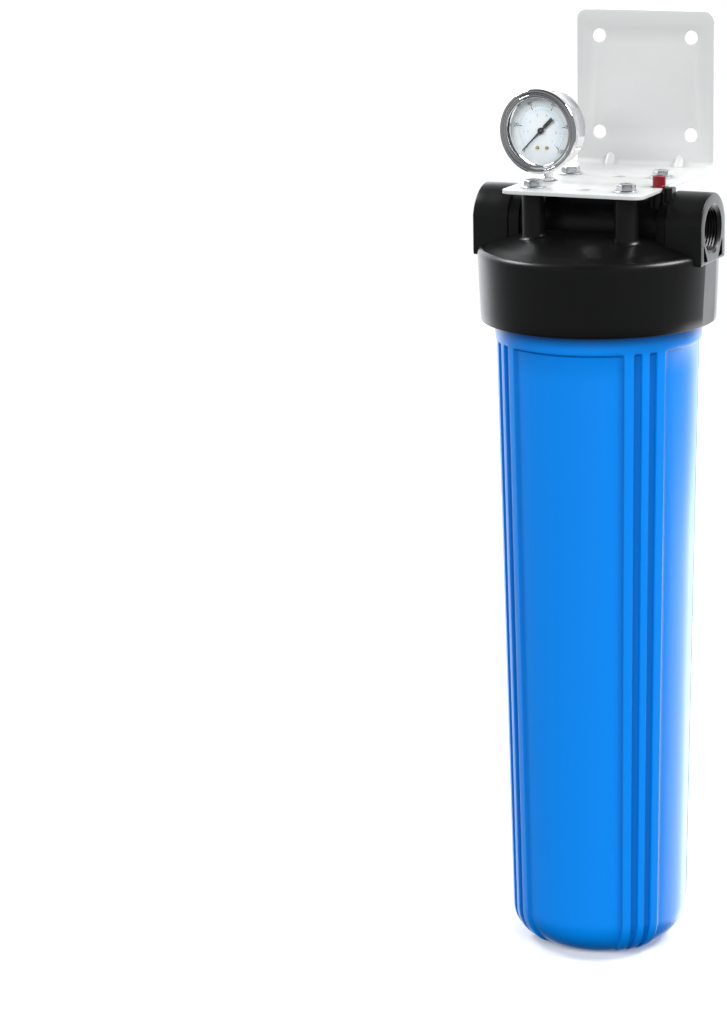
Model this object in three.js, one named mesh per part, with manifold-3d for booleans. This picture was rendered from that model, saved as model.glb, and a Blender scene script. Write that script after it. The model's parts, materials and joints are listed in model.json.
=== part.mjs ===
// Cartridge filter housing: a screw-on ribbed sump under a ported head, with a wall bracket,
// a pressure-relief button and a pressure gauge. Millimetres, +Z up. The origin is the centre
// of the sump's flat base, +X points to the outlet port and -Y to the gauge's face.
import * as THREE from "three";
import { mergeVertices } from "three/addons/utils/BufferGeometryUtils.js";
import Module from "manifold-3d";

const wasm = await Module();
wasm.setup();

// ---- Driving dimensions -------------------------------------------------------------------

const GAP = 0.3; // between pieces that touch

const sump = {
  collarRadius: 79.8, collarBottom: 490.5, collarTop: 504.4, // the plain band under the head
  footRadius: 71, cornerRadius: 31, // the round corner at the base
  ribDepth: 2.3, ribTop: 487.5, // ribs stand this far out of the wall
  wall: 5, floor: 6,
  neckRadius: 77, neckTop: 546, neckBore: 71.5, lipBore: 68, lipBottom: 537,
};
// The ribs stand in four groups of three, all in degrees. The groups lie to each side of the
// middle of each half of the mould, and the rest is measured from the middle of a group.
const ribs = { turn: -88.5, group: 46.9, middle: 2.45, grooveEnd: 6.9, outer: 12.3, cove: 4, edge: 0.3 };
const thread = { pitch: 6, turns: 2.5, perTurn: 24, rootWidth: 3, crestWidth: 1.4, fade: 5 };
const maleThread = { root: sump.neckRadius - 0.6, crest: 80.5, start: 518 };
const femaleThread = { root: 82.3, crest: 78.2, start: maleThread.start - thread.pitch / 2 };
const seal = { radius: 73, width: 5.2, bottom: 542.2, top: 546.6, grooveWidth: 5.8, grooveBottom: 542 };

const head = {
  skirtBottom: 504.9, skirtBottomRadius: 90.5, skirtTop: 555.5, skirtTopRadius: 92.5, shoulder: 6,
  coneRadius: 60, coneTop: 571, crownTop: 574,
  threadBore: 81.8, threadBoreTop: 541, entryBore: 83.6, entryTop: 511, rimBore: 79.2,
  seatFace: 547, chamberRadius: 66, chamberWall: 556, chamberCeiling: 561.5, ceilingRadius: 60,
};
const port = {
  height: 578, face: 93, archRadius: 27.5, archHalfWidth: 27, archBottom: 553, archInner: 65,
  boreRadius: 16.4, boreDepth: 25, passageRadius: 12.5, tubeRadius: 21,
  inletEnd: 30, outletEnd: 12, inletDrop: 42, inletDropRadius: 9,
  pocketDepth: 8, pocketCorners: [[20.5, 566.5], [20.5, 556], [11.5, 555]],
  panelTop: 91.6, panelBottom: 89.5, panelHalfWidth: 20, // the flat on the skirt below the port
};
const spigot = { radius: 17, shoulder: 527.8, noseRadius: 13, noseBottom: 521, bore: 10.5 };
const bracket = {
  thickness: 3, flangeBottom: 606, halfWidth: 57, front: -58, back: 103.6, top: 730,
  bendRadius: 4, cornerRadius: 8, wallHoleRadius: 5.5, wallHoleX: 38.3, wallHoleZ: 671.8, wallHoleRise: 38,
  spareHoleX: 3, spareHoleY: 36, spareHoleRadius: 5.5, gussetX: 29, gussetReach: 13, gussetHalfWidth: 3,
};
const bolt = {
  spacing: 37.5, shank: 3.8, hole: 4.6, acrossFlats: 13, height: 4.6, bottom: 588, bossRadius: 9,
};
const washer = { radius: 9.2, hole: 4.3, thickness: 1.3 };
const relief = {
  x: 52, y: -6, bossRadius: 8.5, bossTop: 605.5, counterbore: 5.8, counterboreBottom: 599,
  seatRadius: 2.7, seatBottom: 594, pocketRadius: 4.6, pocketBottom: 584,
  capRadius: 5, capBottom: 607.5, capTop: 617.5, stemRadius: 2.2, stemBottom: 589,
  grooveRadius: 1.6, grooveBottom: 589.8, grooveTop: 591.5, notch: 6.5,
  lug: [58, 65.5, -14, -6, 590, 609.5], // the block beside the button, as from and to in x, y and z
};
const gauge = {
  x: -41, height: 648.5, turn: -3.5, // degrees about the stem
  bossRadius: 9.5, boreRadius: 5, throughHole: 7.5,
  caseRadius: 29, caseFront: -14, caseBack: 10, caseWall: 1.2, caseCorner: 3,
  bezelRadius: 32.5, bezelFront: -19, bezelBack: -10.5, lipRadius: 25.6, lipThickness: 1.6,
  windowRadius: 29, windowFront: -17.1, windowThickness: 1.6, gasketThickness: 0.9,
  dialRadius: 26.8, dialFront: -9.6, dialThickness: 0.5, dialScrewX: 5.5, dialScrewZ: -13,
  pointerFront: -12.2, pointerThickness: 0.8, tip: 22.5, tail: 13.5,
  plateFront: -6.2, plateBack: 1.4, plateThickness: 1, socketTop: -20,
};
const stem = {
  threadRadius: 4.7, bottom: -55, hexRadius: 6, hexBottom: -41.5, hexTop: -37.5, neckRadius: 3.8,
  plugRadius: 4.8, bore: 1.2, blockHalfWidth: 5.5, blockFront: 1, blockBack: 8,
};
const gears = { module: 0.4, pinionTeeth: 8, sectorTeeth: 72, toothShare: 0.3, spread: 0.08, arbor: 0.8 };
const cartridge = {
  bottom: 19.5, length: 508, capRadius: 57, capThickness: 3.5, capRim: 9, hole: 14.2,
  gasketThickness: 2.4, gasketRadius: 20, gasketBore: 13.9, pleats: 28, pleatOuter: 54, pleatInner: 24,
  coreRadius: 19, coreBore: 16.5,
};

// ---- Geometry helpers ---------------------------------------------------------------------

const TURN = 2 * Math.PI;
const rad = THREE.MathUtils.degToRad;

function signedVolume(position, index) {
  const [a, b, c] = [new THREE.Vector3(), new THREE.Vector3(), new THREE.Vector3()];
  let volume = 0;
  for (let i = 0; i < index.length; i += 3) {
    a.fromBufferAttribute(position, index[i]);
    b.fromBufferAttribute(position, index[i + 1]);
    c.fromBufferAttribute(position, index[i + 2]);
    volume += a.dot(b.cross(c)) / 6;
  }
  return volume;
}

// A manifold solid from a closed geometry, with its faces turned outwards.
function toSolid(geometry) {
  const bare = geometry.clone();
  bare.deleteAttribute("normal");
  bare.deleteAttribute("uv");
  const merged = mergeVertices(bare, 1e-4);
  const corners = merged.index.array;
  const kept = [];
  for (let i = 0; i < corners.length; i += 3) {
    const [a, b, c] = [corners[i], corners[i + 1], corners[i + 2]];
    if (a !== b && b !== c && c !== a) kept.push(a, b, c);
  }
  if (signedVolume(merged.attributes.position, kept) < 0) kept.reverse();
  return new wasm.Manifold(new wasm.Mesh({
    numProp: 3,
    vertProperties: new Float32Array(merged.attributes.position.array),
    triVerts: new Uint32Array(kept),
  }));
}

function toGeometry(made) {
  const mesh = made.getMesh();
  const geometry = new THREE.BufferGeometry();
  geometry.setAttribute("position", new THREE.BufferAttribute(mesh.vertProperties, 3));
  geometry.setIndex(new THREE.BufferAttribute(mesh.triVerts, 1));
  return geometry;
}

function join(first, ...others) {
  return toGeometry(others.reduce((made, other) => made.add(toSolid(other)), toSolid(first)));
}

function cut(first, ...tools) {
  return toGeometry(tools.reduce((made, tool) => made.subtract(toSolid(tool)), toSolid(first)));
}

// A turned shape about Z from [radius, z] points, closed on the axis or on itself.
function turned(profile, segments = 30) {
  return turnedY(profile, segments).rotateX(Math.PI / 2);
}

// The same about Y, from [radius, y] points.
function turnedY(profile, segments = 30) {
  const points = profile.map(([r, along]) => new THREE.Vector2(r, along));
  if (profile[0][0] !== 0) points.push(points[0].clone());
  return new THREE.LatheGeometry(points, segments);
}

function rod(radius, z0, z1, segments = 16, topRadius = radius) {
  const geometry = new THREE.CylinderGeometry(topRadius, radius, z1 - z0, segments);
  return geometry.rotateX(Math.PI / 2).translate(0, 0, (z0 + z1) / 2);
}

function rodX(radius, x0, x1, segments = 24) {
  return rod(radius, x0, x1, segments).rotateY(Math.PI / 2);
}

function rodY(radius, y0, y1, segments = 16) {
  return rod(radius, -y1, -y0, segments).rotateX(Math.PI / 2);
}

function ring(outer, inner, z0, z1, segments = 30) {
  return turned([[inner, z0], [outer, z0], [outer, z1], [inner, z1]], segments);
}

function block(x0, x1, y0, y1, z0, z1) {
  const geometry = new THREE.BoxGeometry(x1 - x0, y1 - y0, z1 - z0);
  return geometry.translate((x0 + x1) / 2, (y0 + y1) / 2, (z0 + z1) / 2);
}

// A flat outline in X and Y, raised from z0 to z1.
function raised(shape, z0, z1, curveSegments = 8) {
  const geometry = new THREE.ExtrudeGeometry(shape, { depth: z1 - z0, bevelEnabled: false, curveSegments });
  return geometry.translate(0, 0, z0);
}

// A flat outline in X and Z, thickened from y0 to y1.
function upright(shape, y0, y1, curveSegments = 8) {
  return raised(shape, -y1, -y0, curveSegments).rotateX(Math.PI / 2);
}

// A flat outline in Y and Z, thickened from x0 to x1.
function sideways(shape, x0, x1, curveSegments = 12) {
  return raised(shape, x0, x1, curveSegments).rotateX(Math.PI / 2).rotateZ(Math.PI / 2);
}

// A closed outline, always counter-clockwise, so that holes in it come out as holes.
function polygon(points) {
  const corners = points.map(([x, y]) => new THREE.Vector2(x, y));
  if (THREE.ShapeUtils.isClockWise(corners)) corners.reverse();
  return new THREE.Shape(corners);
}

// Points on an arc about [x, y], from one angle to another, in degrees.
function arc(x, y, radius, from, to, steps) {
  const points = [];
  for (let i = 0; i <= steps; i += 1) {
    const angle = rad(from + ((to - from) * i) / steps);
    points.push([x + radius * Math.cos(angle), y + radius * Math.sin(angle)]);
  }
  return points;
}

// A helical ridge on a wall: straight bar, bent to the helix, its height fading out at both ends.
function helicalRidge({ root, crest, start }) {
  const { pitch, turns, perTurn, rootWidth, crestWidth, fade } = thread;
  const steps = turns * perTurn;
  const section = polygon([
    [-rootWidth / 2, 0], [rootWidth / 2, 0], [crestWidth / 2, 1], [-crestWidth / 2, 1],
  ]);
  const bar = new THREE.ExtrudeGeometry(section, { depth: steps, steps, bevelEnabled: false });
  const place = bar.attributes.position;
  for (let i = 0; i < place.count; i += 1) {
    const step = place.getZ(i);
    const height = Math.max(0.05, Math.min(1, step / fade, (steps - step) / fade));
    const radius = root + (crest - root) * place.getY(i) * height;
    const angle = (TURN * step) / perTurn;
    const z = start + place.getX(i) + (pitch * step) / perTurn;
    place.setXYZ(i, radius * Math.cos(angle), radius * Math.sin(angle), z);
  }
  return bar;
}

// ---- Sump ---------------------------------------------------------------------------------

// How far the wall is set back from the rib crests at an angle, from 0 to 1. Grooves have
// steep sides, and a hollow cove leads from the outer ribs to the wall.
function ribInset(angle) {
  const { turn, group, middle, grooveEnd, outer, cove, edge } = ribs;
  const fromHalf = THREE.MathUtils.euclideanModulo(THREE.MathUtils.radToDeg(angle) - turn + 90, 180) - 90;
  const off = Math.abs(Math.abs(fromHalf) - group);
  const past = (side) => THREE.MathUtils.clamp((off - side + edge / 2) / edge, 0, 1);
  const left = 1 - THREE.MathUtils.clamp((off - outer) / cove, 0, 1);
  return past(middle) - past(grooveEnd) + Math.sqrt(1 - left * left);
}

function ribbedOutline() {
  const { turn, group, middle, grooveEnd, outer, cove, edge } = ribs;
  const side = [middle, grooveEnd].flatMap((from) => [from - edge / 2, from + edge / 2]);
  side.push((grooveEnd + outer) / 2, outer, outer + cove / 4, outer + cove * 0.6, outer + cove, 24, 32, 39);
  const around = [...side.map((angle) => -angle).reverse(), 0, ...side];
  const angles = [0, 180].flatMap((half) => [
    ...around.map((angle) => angle - group), 0, ...around.map((angle) => angle + group), 90,
  ].map((angle) => rad(angle + half + turn)));
  return polygon(angles.map((angle) => [Math.cos(angle), Math.sin(angle)]));
}

function crestRadius(z) {
  const { footRadius, collarRadius, cornerRadius, collarTop } = sump;
  return footRadius + ((collarRadius - footRadius) * (z - cornerRadius)) / (collarTop - cornerRadius);
}

// The outer surface's rings from the base up: place on the crest line, rib depth and slope.
function sumpLevels() {
  const { cornerRadius, footRadius, ribTop, collarBottom, collarTop, ribDepth } = sump;
  const levels = [];
  for (let slope = 0; slope <= 90; slope += 18) {
    levels.push({
      z: cornerRadius * (1 - Math.cos(rad(slope))),
      radius: footRadius - cornerRadius * (1 - Math.sin(rad(slope))),
      depth: ribDepth * THREE.MathUtils.smoothstep(slope, 0, 50),
      slope: rad(slope),
    });
  }
  for (const [z, depth] of [[ribTop, ribDepth], [collarBottom, 0], [collarTop, 0]]) {
    levels.push({ z, radius: crestRadius(z), depth, slope: Math.PI / 2 });
  }
  return levels;
}

function sumpOutside() {
  const levels = sumpLevels();
  const steps = levels.length - 1;
  const body = new THREE.ExtrudeGeometry(ribbedOutline(), { depth: steps, steps, bevelEnabled: false });
  const place = body.attributes.position;
  for (let i = 0; i < place.count; i += 1) {
    const level = levels[Math.round(place.getZ(i))];
    const angle = Math.atan2(place.getY(i), place.getX(i));
    const inset = level.depth * ribInset(angle);
    const radius = level.radius - inset * Math.sin(level.slope);
    place.setXYZ(
      i, radius * Math.cos(angle), radius * Math.sin(angle), level.z + inset * Math.cos(level.slope),
    );
  }
  return body;
}

function sumpInside() {
  const { floor, wall, ribDepth, cornerRadius, collarTop, neckBore, lipBore, lipBottom, neckTop } = sump;
  const inner = cornerRadius - wall;
  const foot = sump.footRadius - ribDepth - wall;
  return turned([
    [0, floor], ...arc(foot - inner, floor + inner, inner, -90, 0, 5),
    [crestRadius(collarTop - 20) - ribDepth - wall, collarTop - 20], [neckBore, collarTop],
    [neckBore, lipBottom - 4], [lipBore, lipBottom], [lipBore, neckTop + 1], [0, neckTop + 1],
  ], thread.perTurn);
}

function sumpBowl() {
  const { neckRadius, neckTop, collarTop, floor } = sump;
  const neck = turned([
    [0, collarTop - 4], [neckRadius, collarTop - 4], [neckRadius, neckTop - 1], [neckRadius - 1, neckTop],
    [0, neckTop],
  ], thread.perTurn);
  const { radius, grooveWidth, grooveBottom } = seal;
  const groove = ring(
    radius + grooveWidth / 2, radius - grooveWidth / 2, grooveBottom, neckTop + 1, thread.perTurn,
  );
  const seat = turned([
    [spigot.bore, floor - 1], [spigot.radius, floor - 1], [spigot.radius, cartridge.bottom - GAP],
    [spigot.noseRadius, cartridge.bottom - GAP], [spigot.noseRadius - 0.6, 26], [spigot.bore, 26],
  ], 24);
  const shell = cut(join(sumpOutside(), neck, helicalRidge(maleThread)), sumpInside(), groove);
  return join(shell, seat);
}

function faceSeal() {
  const { radius, width, bottom, top } = seal;
  const [halfWidth, halfHeight] = [width / 2, (top - bottom) / 2];
  const section = arc(0, 0, 1, 0, 300, 5).map(
    ([x, y]) => [radius + x * halfWidth, bottom + halfHeight * (1 + y)],
  );
  return turned(section, thread.perTurn);
}

// ---- Head ---------------------------------------------------------------------------------

function headOutside() {
  const { skirtBottom, skirtBottomRadius, skirtTop, skirtTopRadius, shoulder } = head;
  const centre = skirtTopRadius - shoulder;
  return turned([
    [0, skirtBottom], [skirtBottomRadius - 0.8, skirtBottom], [skirtBottomRadius, skirtBottom + 0.8],
    ...arc(centre, skirtTop, shoulder, 0, 71, 4),
    [head.coneRadius, head.coneTop], [40, head.crownTop], [0, head.crownTop],
  ], 48);
}

function headInside() {
  return turned([
    [0, 500], [head.entryBore, 500], [head.entryBore, head.entryTop - 2], [head.threadBore, head.entryTop],
    [head.threadBore, head.threadBoreTop], [head.rimBore, head.threadBoreTop + 2],
    [head.rimBore, head.seatFace], [head.chamberRadius, head.seatFace],
    [head.chamberRadius, head.chamberWall], [head.ceilingRadius, head.chamberCeiling],
    [0, head.chamberCeiling],
  ], thread.perTurn);
}

function portArch(side) {
  const { height, archRadius, archHalfWidth, archBottom, archInner, face } = port;
  const lean = THREE.MathUtils.radToDeg(Math.acos(archHalfWidth / archRadius));
  const outline = polygon([
    [-archHalfWidth, archBottom], [archHalfWidth, archBottom],
    ...arc(0, height, archRadius, lean, 180 - lean, 12),
  ]);
  const [x0, x1] = side > 0 ? [archInner, face] : [-face, -archInner];
  return sideways(outline, x0, x1);
}

function portBore(side) {
  const { height, face, boreRadius, boreDepth, passageRadius, inletEnd, outletEnd } = port;
  const mouth = [face - boreDepth, face + 1];
  const passage = side > 0 ? [-outletEnd, face - boreDepth + 1] : [inletEnd, face - boreDepth + 1];
  return [[boreRadius, mouth], [passageRadius, passage]].map(([radius, [from, to]]) => {
    const bore = rodX(radius, from, to);
    return (side > 0 ? bore : bore.rotateZ(Math.PI)).translate(0, 0, height);
  });
}

// Triangular pockets in the lower corners of a port's end face.
function portPockets(side) {
  const [inner, outer] = [port.face - port.pocketDepth, port.face + 1];
  const [x0, x1] = side > 0 ? [inner, outer] : [-outer, -inner];
  return [-1, 1].map((hand) => sideways(
    polygon(port.pocketCorners.map(([y, z]) => [y * hand, z])), x0, x1,
  ));
}

// The flat panel on the skirt below a port.
function skirtFlat(side) {
  const { archBottom: top, panelTop, panelBottom, panelHalfWidth } = port;
  const [bottom, outer] = [head.skirtBottom - 2, panelTop + 8];
  const outline = polygon([[panelTop, top], [panelBottom, bottom], [outer, bottom], [outer, top]]);
  const flat = upright(outline, -panelHalfWidth, panelHalfWidth);
  return side > 0 ? flat : flat.rotateZ(Math.PI);
}

function cornerBosses() {
  const places = [];
  for (const x of [-1, 1]) {
    for (const y of [-1, 1]) places.push([x * bolt.spacing, y * bolt.spacing]);
  }
  return places;
}

function headCap() {
  const bossTop = bracket.flangeBottom - GAP;
  const bosses = cornerBosses().map(([x, y]) => rod(bolt.bossRadius, 562, bossTop).translate(x, y, 0));
  const gaugeBoss = rod(gauge.bossRadius, 585, bossTop).translate(gauge.x, 0, 0);
  const reliefBoss = rod(relief.bossRadius, 585, relief.bossTop).translate(relief.x, relief.y, 0);
  const lug = block(...relief.lug);
  const tube = rodX(port.tubeRadius, -port.archInner - 1, port.archInner + 1).translate(0, 0, port.height);
  const outside = join(
    headOutside(), portArch(-1), portArch(1), tube, ...bosses, gaugeBoss, reliefBoss, lug,
  );
  const nose = turned([
    [0, spigot.noseBottom], [spigot.noseRadius - 0.6, spigot.noseBottom],
    [spigot.noseRadius, spigot.shoulder], [spigot.radius, spigot.shoulder],
    [spigot.radius, head.chamberCeiling + 1], [0, head.chamberCeiling + 1],
  ], 24);
  const hollow = join(cut(outside, headInside()), nose, helicalRidge(femaleThread));
  const bolts = cornerBosses().map(([x, y]) => rod(bolt.shank + 0.5, 585, 610, 12).translate(x, y, 0));
  const valve = [
    rod(relief.counterbore, relief.counterboreBottom, 612),
    rod(relief.seatRadius, relief.seatBottom - 1, relief.counterboreBottom + 1, 16),
    rod(relief.pocketRadius, relief.pocketBottom, relief.seatBottom, 16),
  ].map((tool) => tool.translate(relief.x, relief.y, 0));
  return cut(
    hollow, ...portBore(-1), ...portBore(1), ...portPockets(-1), ...portPockets(1),
    skirtFlat(-1), skirtFlat(1),
    rod(spigot.bore, spigot.noseBottom - 1, port.height, 24),
    rod(port.inletDropRadius, head.chamberCeiling - 2, port.height).translate(-port.inletDrop, 0, 0),
    rod(gauge.boreRadius, port.height, bossTop + 1).translate(gauge.x, 0, 0),
    ...bolts, ...valve,
  );
}

// ---- Bracket and its screws ---------------------------------------------------------------

function roundHole(x, y, radius, sides = 12) {
  const points = arc(x, y, radius, 360 - 360 / sides, 0, sides - 1);
  return new THREE.Path(points.map(([px, py]) => new THREE.Vector2(px, py)));
}

// A rectangle from y0 to y1 with both corners rounded at its free end, y0.
function tongue(halfWidth, y0, y1, radius) {
  const inward = Math.sign(y1 - y0);
  const corner = (side, from) => arc(
    side * (halfWidth - radius), y0 + inward * radius, radius, from * inward, (from - 90) * inward, 4,
  );
  return polygon([[halfWidth, y1], ...corner(1, 0), ...corner(-1, -90), [-halfWidth, y1]]);
}

function mountingBracket() {
  const { thickness, flangeBottom, halfWidth, front, back, top, bendRadius, cornerRadius } = bracket;
  const bendY = back - thickness - bendRadius;
  const bendZ = flangeBottom + thickness + bendRadius;
  const flange = tongue(halfWidth, front, bendY, cornerRadius);
  for (const [x, y] of cornerBosses()) flange.holes.push(roundHole(x, y, bolt.hole));
  for (const y of [-bracket.spareHoleY, bracket.spareHoleY]) {
    flange.holes.push(roundHole(bracket.spareHoleX, y, bracket.spareHoleRadius));
  }
  flange.holes.push(roundHole(gauge.x, 0, gauge.throughHole));
  const plate = tongue(halfWidth, top, bendZ, cornerRadius);
  for (const x of [-1, 1]) {
    for (const z of [-1, 1]) {
      plate.holes.push(roundHole(
        x * bracket.wallHoleX, bracket.wallHoleZ + z * bracket.wallHoleRise, bracket.wallHoleRadius,
      ));
    }
  }
  const { gussetX, gussetReach, gussetHalfWidth } = bracket;
  const bend = polygon([
    ...arc(bendY, bendZ, bendRadius + thickness, -90, 0, 5), ...arc(bendY, bendZ, bendRadius, 0, -90, 5),
  ]);
  const gussets = [-1, 1].map((side) => {
    const [low, wall] = [flangeBottom + 2, back - 2];
    const web = polygon([[back - gussetReach, low], [wall, low], [wall, flangeBottom + gussetReach]]);
    return sideways(web, side * gussetX - gussetHalfWidth, side * gussetX + gussetHalfWidth);
  });
  const { x, y, notch } = relief;
  return cut(
    join(
      raised(flange, flangeBottom, flangeBottom + thickness),
      upright(plate, back - thickness, back), sideways(bend, -halfWidth, halfWidth), ...gussets,
    ),
    rod(notch, flangeBottom - 1, flangeBottom + thickness + 1).translate(x, y, 0),
    block(x, halfWidth + 1, y - notch, y + notch, flangeBottom - 1, flangeBottom + thickness + 1),
  );
}

function bracketWasher() {
  const bottom = bracket.flangeBottom + bracket.thickness + GAP;
  return ring(washer.radius, washer.hole, bottom, bottom + washer.thickness, 18);
}

function bracketBolt() {
  const headBottom = bracket.flangeBottom + bracket.thickness + washer.thickness + 2 * GAP;
  const corner = bolt.acrossFlats / 2 / Math.cos(Math.PI / 6);
  return join(
    rod(bolt.shank, bolt.bottom, headBottom + 1, 12), rod(corner, headBottom, headBottom + bolt.height, 6),
  );
}

// ---- Pressure-relief valve ----------------------------------------------------------------

function reliefButton() {
  const { capRadius, capBottom, capTop, stemRadius, stemBottom } = relief;
  const { grooveRadius, grooveBottom, grooveTop } = relief;
  return turned([
    [0, stemBottom], [stemRadius - 0.3, stemBottom], [stemRadius - 0.1, grooveBottom],
    [grooveRadius, grooveBottom],
    [grooveRadius, grooveTop], [stemRadius, grooveTop], [stemRadius, capBottom], [capRadius, capBottom],
    [capRadius, capTop - 1], [capRadius - 1, capTop], [0, capTop],
  ], 18);
}

function reliefRetainer() {
  return ring(3.9, relief.grooveRadius + 0.25, relief.grooveBottom + 0.2, relief.grooveTop - 0.3, 14);
}

function reliefSeal() {
  return turned(arc(3.25, 592.85, 0.8, 0, 300, 5), 14);
}

// A coil spring: straight wire bent to a helix whose pitch closes up at both ends.
function coilSpring(radius, wire, bottom, top, turns) {
  const [perTurn, sides] = [12, 5];
  const steps = turns * perTurn;
  const section = polygon(arc(0, 0, wire, 0, 360 - 360 / sides, sides - 1));
  const bar = new THREE.ExtrudeGeometry(section, { depth: steps, steps, bevelEnabled: false });
  const place = bar.attributes.position;
  const [low, high] = [bottom + wire, top - wire];
  for (let i = 0; i < place.count; i += 1) {
    const share = place.getZ(i) / steps;
    const angle = TURN * turns * share;
    const reach = radius + place.getY(i);
    const height = low + (high - low) * share + place.getX(i);
    place.setXYZ(i, reach * Math.cos(angle), reach * Math.sin(angle), height);
  }
  return bar;
}

// ---- Gauge, about its dial's centre: front towards -Y, stem down ---------------------------

function gaugeCase() {
  const { caseRadius, caseFront, caseBack, caseWall, caseCorner, socketTop } = gauge;
  const outer = arc(caseRadius - caseCorner, caseBack - caseCorner, caseCorner, 0, 90, 3);
  const inner = arc(caseRadius - caseCorner, caseBack - caseCorner, caseCorner - caseWall, 0, 90, 3);
  const cup = cut(
    turnedY([[0, caseFront], [caseRadius, caseFront], ...outer, [0, caseBack]]),
    turnedY([
      [0, caseFront - 1], [caseRadius - caseWall, caseFront - 1], ...inner, [0, caseBack - caseWall],
    ]),
  );
  return cut(cup, rod(5.2, -caseRadius - 2, socketTop), rod(4.2, 15, caseRadius + 2));
}

function gaugeBezel() {
  const { bezelRadius, bezelFront, bezelBack, lipRadius, lipThickness, caseRadius } = gauge;
  const bore = caseRadius + 0.4;
  return turnedY([
    [lipRadius, bezelFront + 0.7], [lipRadius + 0.9, bezelFront], [bezelRadius - 1.6, bezelFront],
    [bezelRadius, bezelFront + 1.6], [bezelRadius, bezelBack], [bore, bezelBack],
    [bore, bezelFront + lipThickness], [lipRadius, bezelFront + lipThickness],
  ]);
}

function gaugeWindow() {
  const { windowRadius, windowFront, windowThickness } = gauge;
  return rodY(windowRadius, windowFront, windowFront + windowThickness, 30);
}

function windowGasket() {
  const { windowFront, windowThickness, gasketThickness, caseRadius } = gauge;
  const front = windowFront + windowThickness + 0.2;
  return ring(caseRadius - 0.1, caseRadius - 2.6, -front - gasketThickness, -front).rotateX(Math.PI / 2);
}

function gaugeDial() {
  const { dialRadius, dialFront, dialThickness, dialScrewX, dialScrewZ } = gauge;
  const holes = [-1, 1].map((side) => rodY(1.3, dialFront - 1, dialFront + 2, 12)
    .translate(side * dialScrewX, 0, dialScrewZ));
  const centre = rodY(1.8, dialFront - 1, dialFront + 2, 12);
  return cut(rodY(dialRadius, dialFront, dialFront + dialThickness, 32), centre, ...holes);
}

function dialScrew(side) {
  const { dialFront, dialThickness, dialScrewX, dialScrewZ } = gauge;
  const screw = join(
    rodY(1.9, dialFront - 1.1, dialFront - 0.2, 12),
    rodY(1, dialFront - 0.5, dialFront + dialThickness + 3, 10),
  );
  return screw.translate(side * dialScrewX, 0, dialScrewZ);
}

function fillPlug() {
  const { caseRadius } = gauge;
  return join(rod(3.9, caseRadius - 3, caseRadius + 0.5), rod(5.4, caseRadius + 0.3, caseRadius + 1.9));
}

// The stem: pipe thread, wrench flats, neck, and the block inside the case that holds the tube.
function gaugeSocket() {
  const { socketTop, caseRadius } = gauge;
  const { threadRadius, bottom, hexRadius, hexBottom, hexTop, neckRadius, plugRadius, bore } = stem;
  const { blockHalfWidth, blockFront, blockBack } = stem;
  const caseBottom = -caseRadius;
  return cut(
    join(
      rod(threadRadius, bottom, hexBottom + 0.5), rod(hexRadius, hexBottom, hexTop, 6),
      rod(neckRadius, hexTop - 0.5, caseBottom + 3), rod(plugRadius, caseBottom + 0.2, caseBottom + 3.5),
      block(-blockHalfWidth, blockHalfWidth, blockFront, blockBack, caseBottom + 3.2, socketTop),
    ),
    rod(bore, bottom - 1, caseBottom + 2, 10),
  );
}

function bandShape(inner, outer, from, to, steps) {
  return polygon([...arc(0, 0, outer, from, to, steps), ...arc(0, 0, inner, to, from, steps)]);
}

// The flattened C-shaped tube, from the socket's block round to its free tip.
function bourdonTube() {
  const [front, back] = [2.8, 7.4];
  const bow = upright(bandShape(19.6, 21.4, -68, 190, 18), front, back);
  const foot = block(5.8, 8.4, front, back, -21.2, -17.2);
  const tip = block(-22.6, -18.6, front, back, -5.6, -1.4);
  return join(bow, foot, tip);
}

// Two plates and three pillars: the bearings of both arbors, and the posts that hold the dial.
function movementFrame() {
  const { plateFront, plateBack, plateThickness, dialScrewX, dialScrewZ, dialFront, dialThickness } = gauge;
  const outline = polygon([[-8, 6], [8, 6], [9, -19.5], [-9, -19.5]]);
  const plates = [plateFront, plateBack].map((front) => upright(outline, front, front + plateThickness));
  const pillars = [[-6.5, 4], [6.5, 4], [7, -18]].map(
    ([x, z]) => rodY(1.1, plateFront + 0.5, plateBack + 0.5, 10).translate(x, 0, z),
  );
  const posts = [-1, 1].map((side) => rodY(2, dialFront + dialThickness + 0.2, plateFront + 0.5, 12)
    .translate(side * dialScrewX, 0, dialScrewZ));
  const screws = [-1, 1].map((side) => rodY(1.25, dialFront, plateFront + 0.8, 10)
    .translate(side * dialScrewX, 0, dialScrewZ));
  const bearings = [0, -centreDistance()].map(
    (z) => rodY(gears.arbor + 0.25, -8, 4, 12).translate(0, 0, z),
  );
  return cut(join(...plates, ...pillars, ...posts), ...screws, ...bearings);
}

function centreDistance() {
  const { module, pinionTeeth, sectorTeeth, spread } = gears;
  return (module * (pinionTeeth + sectorTeeth)) / 2 + spread;
}

// The outline of gear teeth numbered from first to last, tooth 0 at the top.
function toothPoints(count, first, last) {
  const { module, toothShare } = gears;
  const pitchRadius = (module * count) / 2;
  const pitchAngle = 360 / count;
  const points = [];
  for (let tooth = last; tooth >= first; tooth -= 1) {
    const middle = 90 - tooth * pitchAngle;
    const half = (pitchAngle * toothShare) / 2;
    for (const [radius, lean] of [
      [pitchRadius - 1.25 * module, -1.5 * half], [pitchRadius + 0.85 * module, -0.6 * half],
      [pitchRadius + 0.85 * module, 0.6 * half], [pitchRadius - 1.25 * module, 1.5 * half],
    ]) points.push([radius * Math.cos(rad(middle + lean)), radius * Math.sin(rad(middle + lean))]);
  }
  return points;
}

// Turned half a tooth, so a gap faces down to the sector's tooth.
function gaugePinion() {
  const teeth = polygon(toothPoints(gears.pinionTeeth, 0, gears.pinionTeeth - 1));
  const gear = upright(teeth, -3.6, -0.6).rotateY(Math.PI / gears.pinionTeeth);
  return join(gear, rodY(gears.arbor, gauge.pointerFront - 0.6, gauge.plateBack + 1.2, 12));
}

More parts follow.
